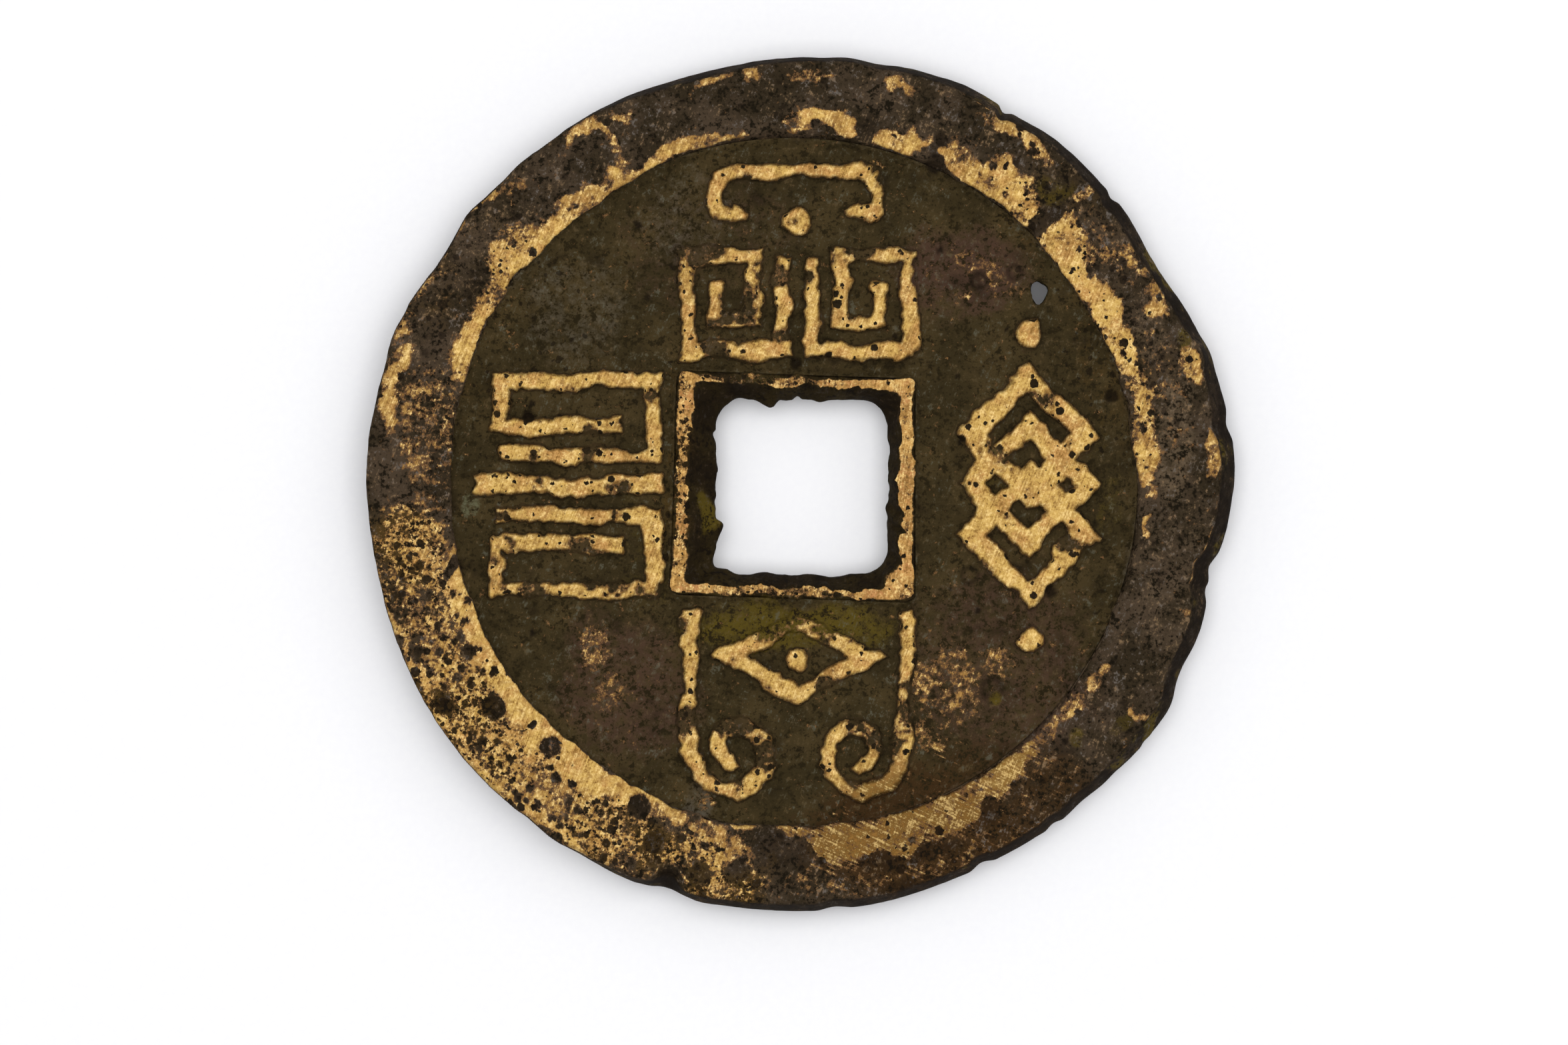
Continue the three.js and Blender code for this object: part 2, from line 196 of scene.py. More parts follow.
class Grain:
    """Smooth noise from -1 to 1 over points, the same on every run."""

    STRIDES = (0x9E3779B1, 0x85EBCA77, 0xC2B2AE3D)
    LOW_BITS = 0xFFFFFFFF
    HALF = 2.0**31
    FOLD = np.uint64(15)
    FADE = 0.55
    FINER = 2.1
    LAYER_SHIFT = 5.7
    SIDE_SHIFT = 41.3

    def __init__(self, seed: int) -> None:
        """Starts the noise that belongs to a seed."""
        self.seed = seed

    def corner(self, cells: Array) -> Array:
        """Gives each whole-number corner of space its own value.

        Args:
            cells: corners, n by 3.

        Returns:
            A value from -1 to 1 for each.
        """
        whole = (cells.astype(np.int64) & self.LOW_BITS).astype(np.uint64)
        mixed = np.full(len(cells), self.seed * self.STRIDES[0] & self.LOW_BITS, np.uint64)
        for axis, stride in enumerate(self.STRIDES):
            mixed = ((mixed ^ whole[:, axis]) * np.uint64(stride)) & np.uint64(self.LOW_BITS)
            mixed ^= mixed >> self.FOLD
        return mixed / self.HALF - 1

    def at(self, points: Array, size: float) -> Array:
        """Reads the noise.

        Args:
            points: n by 3.
            size: how far apart its bumps lie.

        Returns:
            A value from -1 to 1 for each point.
        """
        scaled = points / size
        cells = np.floor(scaled)
        part = smooth(scaled - cells)
        total = np.zeros(len(points))
        for corner in np.ndindex(2, 2, 2):
            weight = np.prod(np.where(corner, part, 1 - part), axis=1)
            total += weight * self.corner(cells + corner)
        return total

    def layers(self, points: Array, size: float, count: int) -> Array:
        """Adds up finer and fainter layers of the noise.

        Args:
            points: n by 3.
            size: how far apart the bumps of the coarsest layer lie.
            count: the number of layers.

        Returns:
            A value from -1 to 1 for each point.
        """
        weights = self.FADE ** np.arange(count)
        sizes = size / self.FINER ** np.arange(count)
        parts = [
            weight * self.at(points + self.LAYER_SHIFT * layer, finer)
            for layer, (weight, finer) in enumerate(zip(weights, sizes))
        ]
        return sum(parts) / weights.sum()

    def moved(self, points: Array, size: float, reach: float) -> Array:
        """Moves points about in X and Y, so that what is read there gets a ragged edge."""
        out = points.copy()
        out[:, 0] += reach * self.at(points, size)
        out[:, 1] += reach * self.at(points + self.SIDE_SHIFT, size)
        return out


@dataclass(frozen=True)
class Bumps:
    """One use of the grain: the size and the layers of its bumps, their strength, the value
    that they lie about, and how far the place where they are read is shifted."""

    size: float
    layers: int
    strength: float = 1.0
    about: float = 0.0
    shift: float = 0.0

    def read(self, grain: Grain, points: Array) -> Array:
        """Their value at each point."""
        noise = grain.layers(points + self.shift, self.size, self.layers)
        return self.about + self.strength * noise


@dataclass(frozen=True)
class Mark:
    """A bulge or hollow of an edge: its middle and half its width in degrees, and its rise."""

    at: float
    half: float
    rise: float


def risen(marks: Sequence[Mark], degrees: Array) -> Array:
    """Adds up the marks of an edge.

    Args:
        marks: bulges and hollows.
        degrees: where to read them.

    Returns:
        How far the edge stands out at each angle.
    """
    total = np.zeros_like(degrees)
    for mark in marks:
        away = np.abs((degrees - mark.at + 180) % 360 - 180) / mark.half
        total += mark.rise * np.where(away < 1, np.cos(np.minimum(away, 1) * np.pi / 2) ** 2, 0)
    return total


@dataclass(frozen=True)
class Spot:
    """A soft-edged spot: its X and Y, half its size along each, and how strong it is. On a rim
    its X is an angle in degrees and its Y a radius."""

    x: float
    y: float
    half_x: float
    half_y: float
    amount: float = 1.0
    edge: Pair = (1.4, 0.6)

    def share(self, x: Array, y: Array) -> Array:
        """How much of the spot lies at each place, from 0 to its amount."""
        away = np.hypot((x - self.x) / self.half_x, (y - self.y) / self.half_y)
        return self.amount * ramp(away, *self.edge)


def greatest(spots: Sequence[Spot], x: Array, y: Array) -> Array:
    """The strongest spot at each place, or 0 where there is none."""
    return np.maximum.reduce([np.zeros_like(x)] + [spot.share(x, y) for spot in spots])


def arc(
    start: float, end: float, radius: float, half: float, amount: float
) -> tuple[Spot, ...]:
    """Places round spots along an arc of the rim.

    Args:
        start, end: the arc, in degrees.
        radius: how far from the coin's middle it lies.
        half: half the width of a spot.
        amount: how strong each is.

    Returns:
        The spots, by their X and Y.
    """
    count = math.ceil(math.radians(end - start) * radius / half) + 1
    turns = np.radians(np.linspace(start, end, count)).tolist()
    return tuple(
        Spot(radius * math.cos(turn), radius * math.sin(turn), half, half, amount)
        for turn in turns
    )


@dataclass(frozen=True)
class Dent:
    """A round hollow of the face: its X and Y, its radius and its depth. Where the depth is
    negative it is a blob with a dirty ring."""

    x: float
    y: float
    radius: float
    depth: float
    edge: Pair = (1.0, 0.2)

    def share(self, points: Array) -> Array:
        """How far inside the dent each point is: 1 in the middle, 0 from its edge on."""
        away = np.hypot(points[:, 0] - self.x, points[:, 1] - self.y) / self.radius
        return ramp(away, *self.edge)


@dataclass(frozen=True)
class SmallDents:
    """Many small dents, spread over part of the rim from a seed."""

    seed: int
    count: int
    start: float
    end: float
    inner: float = 15.4
    outer: float = 18.6
    sizes: Pair = (0.1, 0.24)
    depth: float = 0.07

    def made(self) -> list[Dent]:
        """Draws the dents."""
        draw = np.random.default_rng(self.seed)
        angles = np.radians(draw.uniform(self.start, self.end, self.count))
        reaches = draw.uniform(self.inner, self.outer, self.count)
        sizes = draw.uniform(*self.sizes, self.count)
        return [
            Dent(reach * math.cos(angle), reach * math.sin(angle), size, self.depth)
            for angle, reach, size in zip(angles, reaches, sizes)
        ]


class Surface:
    """A mesh in the making: its points, its faces and the tones of its points."""

    def __init__(self, points: Array, faces: Array) -> None:
        """Starts with every tone at 0."""
        self.points = points
        self.faces = faces
        self.tones = {tone: np.zeros(len(points)) for tone in Tone}

    def add(self, tone: Tone, amount: Array) -> None:
        """Adds to a tone and keeps it between 0 and 1."""
        self.tones[tone] = np.clip(self.tones[tone] + amount, 0, 1)

    def piece(self, name: str, node: str, slot: str, finish: Finish) -> bpy.types.Object:
        """Makes the piece that stands for a CAD node.

        Args:
            name: the piece's name.
            node: the CAD node.
            slot: the record's material slot; not used.
            finish: the piece's material.

        Returns:
            The piece, on the coin's body.
        """
        mesh = bpy.data.meshes.new(name)
        mesh.from_pydata((self.points * MM).tolist(), [], self.faces.tolist())
        mesh.polygons.foreach_set("use_smooth", np.ones(len(self.faces), bool))
        for tone, values in self.tones.items():
            layer = mesh.attributes.new(tone.value, "FLOAT", "POINT")
            layer.data.foreach_set("value", values.astype(np.float32))
        mesh.materials.append(finish)
        mesh.update()
        piece = bpy.data.objects.new(name, mesh)
        bpy.context.scene.collection.objects.link(piece)
        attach(piece, "root")
        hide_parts(node)
        LOG.info("%s: %d points for %s", name, len(self.points), node)
        return piece


@dataclass(frozen=True)
class Face:
    """The wear, dirt and dents of one face. Its spots on the rim are in degrees and radius."""

    side: Side
    rim_bare: tuple[Spot, ...]
    rim_stains: tuple[Spot, ...]
    frame_stains: tuple[Spot, ...]
    smears: tuple[Spot, ...]
    patches: dict[Tone, tuple[Spot, ...]]
    dents: tuple[Dent, ...]
    small_dents: tuple[SmallDents, ...]
    grain: Grain = field(default_factory=lambda: Grain(11))
    rim_strays: tuple[Pair, ...] = ((1.9, 0.5), (0.6, 0.3), (0.28, 0.13))
    ring_dirt: float = 1.1
    stain_dirt: float = 0.5
    pit_spread: Bumps = Bumps(2.0, 3, 1.6, 0.8, 20.0)
    bare_spread: Bumps = Bumps(1.2, 4, 0.8, 1.0)

    def holds(self, points: Array, middle: float) -> Array:
        """Tells which points belong to this face: those on its side of the coin's middle."""
        return (points[:, 2] - middle) * self.side.value > 0

    def dented(self, surface: Surface, chosen: Array, dirty: float) -> Array:
        """Works out the face's dents on a surface, and dirties them.

        Args:
            surface: the surface that gets the dirt.
            chosen: which of its points belong to the face.
            dirty: the amount of dirt in a dent.

        Returns:
            How deep each point sinks.
        """
        depth = np.zeros(len(surface.points))
        grime = np.zeros(len(surface.points))
        ragged = self.grain.moved(surface.points[chosen], size=0.3, reach=0.07)
        for dent in [*self.dents, *(dent for group in self.small_dents for dent in group.made())]:
            share = dent.share(ragged)
            depth[chosen] += dent.depth * share
            stained = share if dent.depth > 0 else self.ring_dirt * share * (1 - share)
            grime[chosen] = np.maximum(grime[chosen], stained)
        surface.add(Tone.GRIME, dirty * smooth(2.3 * grime))
        return depth

    def toned(self, surface: Surface, chosen: Array) -> None:
        """Adds the face's patches of dust and colour to the points that belong to it."""
        ragged = self.grain.moved(surface.points, size=1.6, reach=0.7)
        spread = np.clip(self.pit_spread.read(self.grain, surface.points), 0, 1.3)
        for tone, spots in self.patches.items():
            share = greatest(spots, ragged[:, 0], ragged[:, 1]) * chosen
            surface.add(tone, share * spread if tone is Tone.PITTED else share)

    def rubbed_rim(self, surface: Surface, chosen: Array) -> None:
        """Bares the brass of the rim where its spots say so."""
        ragged = surface.points
        for stray in self.rim_strays:
            ragged = self.grain.moved(ragged, *stray)
        degrees = angles_of(ragged) % 360
        radius = np.hypot(ragged[:, 0], ragged[:, 1])
        bare = greatest(self.rim_bare, degrees, radius)
        bare *= self.bare_spread.read(self.grain, surface.points)
        stained = greatest(self.rim_stains, degrees, radius)
        surface.add(Tone.WEAR, np.clip(bare - stained, 0, 1) * chosen)
        surface.add(Tone.GRIME, self.stain_dirt * stained * chosen)


class CadLoops:
    """Reads the loops that a ring-shaped CAD node is made of, in millimetres."""

    DIGITS = 4
    LEAST_GAP = 0.2

    def __init__(self, node: str, square: bool = False) -> None:
        """Collects the node's points and its levels, from the lowest up.

        Args:
            node: the CAD node.
            square: whether its loops are square.
        """
        self.points = np.unique(np.round(node_points(node), self.DIGITS), axis=0)
        self.levels = np.unique(self.points[:, 2])
        self.square = square

    def reach(self, degrees: Array, level: int, outer: bool = True) -> Array:
        """How far out a loop lies from the coin's middle.

        Args:
            degrees: where to read it.
            level: which of the levels.
            outer: which loop, where the level has two.

        Returns:
            The radius at each angle.
        """
        loop = self.points[self.points[:, 2] == self.levels[level]]
        away = np.abs(loop[:, :2] - loop[:, :2].mean(axis=0))
        size = away.max(axis=1) if self.square else np.hypot(loop[:, 0], loop[:, 1])
        ordered = np.sort(size)
        widest = np.argmax(np.diff(ordered))
        if ordered[widest + 1] - ordered[widest] > self.LEAST_GAP:
            loop = loop[(size > ordered[widest]) == outer]
        radius = np.hypot(loop[:, 0], loop[:, 1])
        return np.interp(degrees, angles_of(loop), radius, period=360)


@dataclass(frozen=True)
class Station:
    """A loop of a ring's section, and the rows of faces from it to the next station."""

    reach: Array
    height: float
    rows: int


class Ring:
    """A closed ring: rows of points round the coin's middle, joined into a closed section."""

    LEAST_LENGTH = 1e-6

    def __init__(self, stations: Sequence[Station], degrees: Array) -> None:
        """Fills in the rows between the stations, which go up the inner wall and out.

        Args:
            stations: the loops of the section.
            degrees: the angles of the points of a row.
        """
        reach, height = [], []
        for here, there in zip(stations, [*stations[1:], stations[0]]):
            for step in range(here.rows):
                share = step / here.rows
                reach.append(here.reach + share * (there.reach - here.reach))
                level = here.height + share * (there.height - here.height)
                height.append(np.full_like(here.reach, level))
        self.stations = stations
        self.reach = np.array(reach)
        self.height = np.array(height)
        self.angles = np.radians(degrees)
        self.fixed = np.zeros(len(reach), bool)

    def soften(self, passes: int, hidden: int) -> None:
        """Rounds the section's corners, all but the wall that another piece hides.

        Args:
            passes: how often, for rounder corners.
            hidden: the station at the start of that wall; the next one ends it.
        """
        start = sum(station.rows for station in self.stations[:hidden])
        wall = start + np.arange(self.stations[hidden].rows + 1)
        self.fixed[wall % len(self.reach)] = True
        for _ in range(passes):
            for values in (self.reach, self.height):
                eased = (np.roll(values, 1, axis=0) + 2 * values + np.roll(values, -1, axis=0)) / 4
                eased[self.fixed] = values[self.fixed]
                values[:] = eased

    def normals(self) -> Array:
        """The way each point faces, by the section alone, n by 3."""
        across = np.roll(self.reach, -1, axis=0) - np.roll(self.reach, 1, axis=0)
        upward = np.roll(self.height, -1, axis=0) - np.roll(self.height, 1, axis=0)
        length = np.maximum(np.hypot(across, upward), self.LEAST_LENGTH)
        outward, up = -upward / length, across / length
        x, y = outward * np.cos(self.angles), outward * np.sin(self.angles)
        return np.stack([x, y, up], -1).reshape(-1, 3)

    def surface(self) -> Surface:
        """Joins the rows into closed quads that face outwards."""
        rows, columns = self.reach.shape
        x, y = self.reach * np.cos(self.angles), self.reach * np.sin(self.angles)
        points = np.stack([x, y, self.height], -1).reshape(-1, 3)
        row = np.arange(rows)[:, None] * columns
        column = np.arange(columns)[None, :]
        next_row, next_column = np.roll(row, -1, axis=0), np.roll(column, -1, axis=1)
        corners = (row + column, next_row + column, next_row + next_column, row + next_column)
        return Surface(points, np.stack(corners, -1).reshape(-1, 4))

    def worn(self, points: Array, normals: Array, depth: Array) -> Array:
        """Sinks points against the way they face, all but those of the fixed rows."""
        free = np.repeat(~self.fixed, len(self.angles))
        return points - normals * (depth * free)[:, None]


@dataclass(frozen=True)
class Pattern:
    """A noise of a finish: the size of its bumps, its finer layers and how strong those are."""

    size: float
    detail: float = 3.0
    harsh: float = 0.6


@dataclass(frozen=True)
class WornBrass:
    """Cast brass, toned dark with age and rubbed bare where its points say so."""

    title: str
    toned_deep: Colour = colour(25, 20, 11)
    toned: Colour = colour(49, 40, 27)
    toned_pale: Colour = colour(72, 59, 45)
    fleck: Colour = colour(128, 104, 76)
    fleck_grey: Colour = colour(104, 96, 88)
    fringe: Colour = colour(130, 94, 60)
    bare: Colour = colour(168, 137, 74)
    bare_dull: Colour = colour(124, 93, 50)
    bare_deep: Colour = colour(111, 80, 38)
    bare_warm: Colour = colour(156, 117, 66)
    bare_pale: Colour = colour(197, 169, 110)
    bare_filed: Colour = colour(83, 58, 24)
    # Dirt, kept this dark also for the painted shade of the rim's outer wall.
    dirt: Colour = colour(21, 15, 9)
    dust_and_light: Colour = colour(98, 90, 76)
    plum: Colour = colour(76, 55, 44)
    moss: Colour = colour(88, 74, 24)
    verdigris: Colour = colour(116, 118, 90)
    pepper: Colour = colour(74, 56, 27)
    filed_dark: Colour = colour(60, 42, 22)
    patch_strength: float = 1.5
    speck_strength: float = 1.5
    scratch_strength: float = 0.3
    file_strength: float = 1.3
    pepper_strength: float = 3.8
    grime_and_shade_strength: float = -1.5
    fleck_share: float = 0.9
    bare_metallic: float = 0.75
    bare_roughness: float = 0.56
    toned_roughness: float = 0.74
    shine: float = 0.03
    scratch_turn: float = 68.0
    cross_turn: float = -47.0
    file_turn: float = -25.0
    grain_depth: float = 0.022
    bump: float = 0.8


class NodeTree:
    """Adds shader nodes to a material or a world and joins them. Sizes are millimetres."""

    def __init__(self, owner: Finish | bpy.types.World) -> None:
        """Starts with no nodes."""
        owner.use_nodes = True
        self.owner = owner
        self.tree = owner.node_tree
        self.tree.nodes.clear()

    @cached_property
    def place(self) -> Socket:
        """The coordinates that all patterns use."""
        place = self.node("ShaderNodeTexCoord").outputs["Object"]
        inputs = {0: place, "Scale": 1 / MM}
        return self.node("ShaderNodeVectorMath", inputs, operation="SCALE").outputs[0]

    def node(self, kind: str, values: dict | None = None, **settings: object) -> bpy.types.Node:
        """Adds a node.

        Args:
            kind: Blender's name of it.
            values: what its inputs hold, a socket or a value.
            settings: its own settings.

        Returns:
            The node.
        """
        made = self.tree.nodes.new(kind)
        for name, setting in settings.items():
            setattr(made, name, setting)
        for name, value in (values or {}).items():
            if isinstance(value, Socket):
                self.tree.links.new(value, made.inputs[name])
            else:
                made.inputs[name].default_value = value
        return made

    def math(self, operation: str, *values: Socket | float, held: bool = False) -> Socket:
        """Works out numbers, held between 0 and 1 if asked."""
        inputs = dict(enumerate(values))
        made = self.node("ShaderNodeMath", inputs, operation=operation, use_clamp=held)
        return made.outputs[0]

    def times(self, first: Socket | float, second: Socket | float) -> Socket:
        """Multiplies two numbers."""
        return self.math("MULTIPLY", first, second)

    def total(self, start: Socket | float, *parts: tuple[Socket, float]) -> Socket:
        """Adds parts to a start, each times its weight."""
        for part, weight in parts:
            start = self.math("MULTIPLY_ADD", part, weight, start)
        return start

    def eased(self, value: Socket, low: float, high: float) -> Socket:
        """Eases a value from 0 at low to 1 at high."""
        inputs = {"Value": value, "From Min": low, "From Max": high}
        made = self.node("ShaderNodeMapRange", inputs, interpolation_type="SMOOTHSTEP")
        return made.outputs[0]

    def mixed(
        self, share: Socket | float, first: Socket | Colour, second: Socket | Colour
    ) -> Socket:
        """Mixes two colours."""
        inputs = {0: share, 6: first, 7: second}
        return self.node("ShaderNodeMix", inputs, data_type="RGBA").outputs[2]

    def tone(self, tone: Tone) -> Socket:
        """Reads a tone of the mesh's points."""
        return self.node("ShaderNodeAttribute", attribute_name=tone.value).outputs["Fac"]

    def noise(self, pattern: Pattern, place: Socket | None = None) -> Socket:
        """Noise about 0, from about -0.5 to 0.5, at the tree's place or another."""
        inputs = {
            "Vector": place or self.place,
            "Scale": 1 / pattern.size,
            "Detail": pattern.detail,
            "Roughness": pattern.harsh,
        }
        made = self.node("ShaderNodeTexNoise", inputs)
        return self.math("SUBTRACT", made.outputs["Fac"], 0.5)

    def scratches(self, turn: float, length: float, width: float) -> Socket:
        """Noise about 0 that is drawn out into fine scratches, turned by some degrees."""
        turned = (0.0, 0.0, math.radians(turn))
        inputs = {"Vector": self.place, "Rotation": turned, "Scale": (length, width, length)}
        place = self.node("ShaderNodeMapping", inputs, vector_type="TEXTURE")
        return self.noise(Pattern(1.0, 2.0), place.outputs[0])

    def bumps(self, height: Socket, strength: float, depth: float) -> Socket:
        """Turns a height into the way the surface faces; a height of 1 is that deep."""
        inputs = {"Strength": strength, "Distance": depth * MM, "Height": height}
        return self.node("ShaderNodeBump", inputs).outputs["Normal"]

    def finished(self, inputs: dict[str, Socket | Colour | float]) -> Finish:
        """Ends the material in a shader with these inputs, and gives it back."""
        shader = self.node("ShaderNodeBsdfPrincipled", inputs)
        self.node("ShaderNodeOutputMaterial", {"Surface": shader.outputs["BSDF"]})
        return self.owner


class BrassPainter:
    """Builds the material of a worn brass finish."""

    FINE = Pattern(0.09, 2.0)
    SPECK = Pattern(0.24, 4.0, 0.7)
    GRIT = Pattern(0.34, 6.0, 0.85)
    COARSE = Pattern(0.55, 4.0, 0.75)
    MOTTLE = Pattern(0.2, 3.0, 0.7)
    PATCHES = Pattern(0.65, 7.0, 0.66)
    PATCH_EDGE = Pattern(0.4, 5.0, 0.75)
    CLOUD = Pattern(2.4, 6.0)
    WARMTH = Pattern(1.1, 4.0)
    FLECK_KIND = Pattern(0.9, 3.0)
    PIT_SPACINGS = (0.58, 0.29)
    PIT_STRAY, PIT_STRAY_SCALE = (0.24, 0.24, 0.24), 5.0
    PIT_RADIUS, PIT_RADIUS_MORE = 0.14, 0.26

    def __init__(self, finish: WornBrass) -> None:
        """Takes the finish and starts its material."""
        self.finish = finish
        self.nodes = nodes = NodeTree(bpy.data.materials.new(finish.title))
        cross_turn = finish.scratch_turn + finish.cross_turn
        self.along = nodes.scratches(finish.scratch_turn, length=1.6, width=0.07)
        self.across = nodes.scratches(cross_turn, length=1.1, width=0.09)
        filed = nodes.scratches(finish.file_turn, length=2.6, width=0.11)
        self.filed = nodes.times(filed, nodes.tone(Tone.FILED))
        self.fine = nodes.noise(self.FINE)
        self.grit = nodes.noise(self.GRIT)
        self.mottle = nodes.noise(self.MOTTLE)
        self.patches = nodes.noise(self.PATCHES)
        self.value = self.bareness()

    def bareness(self) -> Socket:
        """How bare the brass is: over 0.5 it is bare metal, just under that is its fringe."""
        nodes, finish = self.nodes, self.finish
        return nodes.total(
            nodes.tone(Tone.WEAR),
            (self.patches, finish.patch_strength),
            (nodes.noise(self.SPECK), finish.speck_strength),
            (self.along, finish.scratch_strength),
            (self.filed, finish.file_strength),
            (nodes.times(self.mottle, nodes.tone(Tone.PITTED)), finish.pepper_strength),
            (nodes.tone(Tone.GRIME), finish.grime_and_shade_strength),
        )

    def toned_colour(self) -> Socket:
        """The colour where the brass is toned, with its patches of dust and colour; its dust tone
        also carries painted light and its grime tone painted shade.
        """
        nodes, finish = self.nodes, self.finish
        pale = nodes.eased(nodes.noise(self.CLOUD), -0.1, 0.14)
        base = nodes.mixed(pale, finish.toned, finish.toned_pale)
        tints = {
            Tone.PLUM: finish.plum,
            Tone.FILED: finish.filed_dark,
            Tone.PITTED: finish.pepper,
            Tone.MOSS: finish.moss,
            Tone.DUST: finish.dust_and_light,
            Tone.VERDIGRIS: finish.verdigris,
        }
        edge = nodes.noise(self.PATCH_EDGE)
        for tone, tint in tints.items():
            inside = nodes.eased(nodes.total(nodes.tone(tone), (edge, 2.6)), 0.2, 1.0)
            amount = nodes.math("MULTIPLY", inside, nodes.tone(tone), held=True)
            base = nodes.mixed(amount, base, tint)
        scaly = nodes.total(self.mottle, (nodes.noise(self.COARSE), 1.1))
        base = nodes.mixed(nodes.eased(scaly, -0.02, -0.2), base, finish.toned_deep)
        grey = nodes.eased(nodes.noise(self.FLECK_KIND), -0.08, 0.08)
        fleck = nodes.mixed(grey, finish.fleck, finish.fleck_grey)
        shown = nodes.eased(nodes.total(scaly, (self.along, 0.4)), 0.07, 0.3)
        base = nodes.mixed(nodes.times(shown, finish.fleck_share), base, fleck)
        # The grime tone darkens towards the dirt colour: dirt, and on the rim's outer wall painted
        # shade.
        dirty = nodes.total(0.92, (nodes.tone(Tone.MOSS), -0.7))
        return nodes.mixed(nodes.times(nodes.tone(Tone.GRIME), dirty), base, finish.dirt)

    def bare_colour(self) -> Socket:
        """The colour of the bare brass, streaked by its scratches."""
        nodes, finish = self.nodes, self.finish
        warmth = nodes.eased(nodes.noise(self.WARMTH), -0.08, 0.16)
        base = nodes.mixed(warmth, finish.bare, finish.bare_warm)
        base = nodes.mixed(nodes.eased(self.value, 0.48, 1.2), finish.bare_dull, base)
        base = nodes.mixed(nodes.times(nodes.tone(Tone.FILED), 0.9), base, finish.bare_filed)
        streak = nodes.total(
            0.0,
            (self.along, 0.8),
            (self.across, 0.4),
            (self.fine, 0.8),
            (self.grit, 2.4),
            (self.filed, 1.3),
        )
        dulled = nodes.total(1.0, (nodes.tone(Tone.FILED), -0.42))
        pale = nodes.times(nodes.eased(streak, -0.02, 0.44), dulled)
        base = nodes.mixed(pale, base, finish.bare_pale)
        return nodes.mixed(nodes.eased(streak, -0.06, -0.4), base, finish.bare_deep)

    def pits(self, spacing: float) -> Socket:
        """Small round pits of unlike sizes; their tone says how many there are.

        Args:
            spacing: how far apart the places for pits lie.

        Returns:
            1 in a pit, 0 elsewhere.
        """
        nodes = self.nodes
        inputs = {"Vector": nodes.place, "Scale": self.PIT_STRAY_SCALE}
        stray = nodes.node("ShaderNodeTexNoise", inputs).outputs["Color"]
        inputs = {0: stray, 1: self.PIT_STRAY, 2: nodes.place}
        ragged = nodes.node("ShaderNodeVectorMath", inputs, operation="MULTIPLY_ADD")
        inputs = {"Vector": ragged.outputs[0], "Scale": 1 / spacing}
        cells = nodes.node("ShaderNodeTexVoronoi", inputs)
        chance = nodes.node("ShaderNodeSeparateColor", {0: cells.outputs["Color"]})
        present = nodes.math("LESS_THAN", chance.outputs[0], nodes.tone(Tone.PITTED))
        radius = nodes.total(self.PIT_RADIUS, (chance.outputs[1], self.PIT_RADIUS_MORE))
        inside = nodes.math("SUBTRACT", radius, cells.outputs["Distance"])
        return nodes.times(nodes.eased(inside, 0.0, 0.05), present)

    def built(self) -> Finish:
        """Joins everything into the shader.

        Returns:
            The material.
        """
        nodes, finish = self.nodes, self.finish
        pits = nodes.math("MAXIMUM", *(self.pits(spacing) for spacing in self.PIT_SPACINGS))
        open_metal = nodes.math("SUBTRACT", 1.0, pits)
        bare = nodes.times(nodes.eased(self.value, 0.47, 0.58), open_metal)
        fringe = nodes.times(nodes.times(nodes.eased(self.value, 0.28, 0.5), 0.8), open_metal)
        skin = nodes.mixed(fringe, self.toned_colour(), finish.fringe)
        skin = nodes.mixed(nodes.times(pits, 0.65), skin, finish.dirt)
        toned_rough = nodes.total(finish.toned_roughness, (self.patches, 0.3))
        bare_rough = nodes.total(finish.bare_roughness, (self.across, 0.25))
        change = nodes.math("SUBTRACT", bare_rough, toned_rough)
        rough = nodes.total(0.0, (self.fine, 0.8), (self.grit, 2.0))
        rough = nodes.times(rough, nodes.math("SUBTRACT", 1.15, bare))
        height = nodes.total(rough, (self.along, 0.22), (bare, 0.35), (pits, -1.0))
        return nodes.finished(
            {
                "Base Color": nodes.mixed(bare, skin, self.bare_colour()),
                "Metallic": nodes.times(bare, finish.bare_metallic),
                "Roughness": nodes.math("MULTIPLY_ADD", change, bare, toned_rough),
                "Specular IOR Level": finish.shine,
                "Normal": nodes.bumps(height, finish.bump, finish.grain_depth),
            }
        )


def turned_out(points: Array, normals: Array) -> Array:
    """Tells which points face away from the coin's middle."""
    return (points[:, :2] * normals[:, :2]).sum(axis=1) > 0


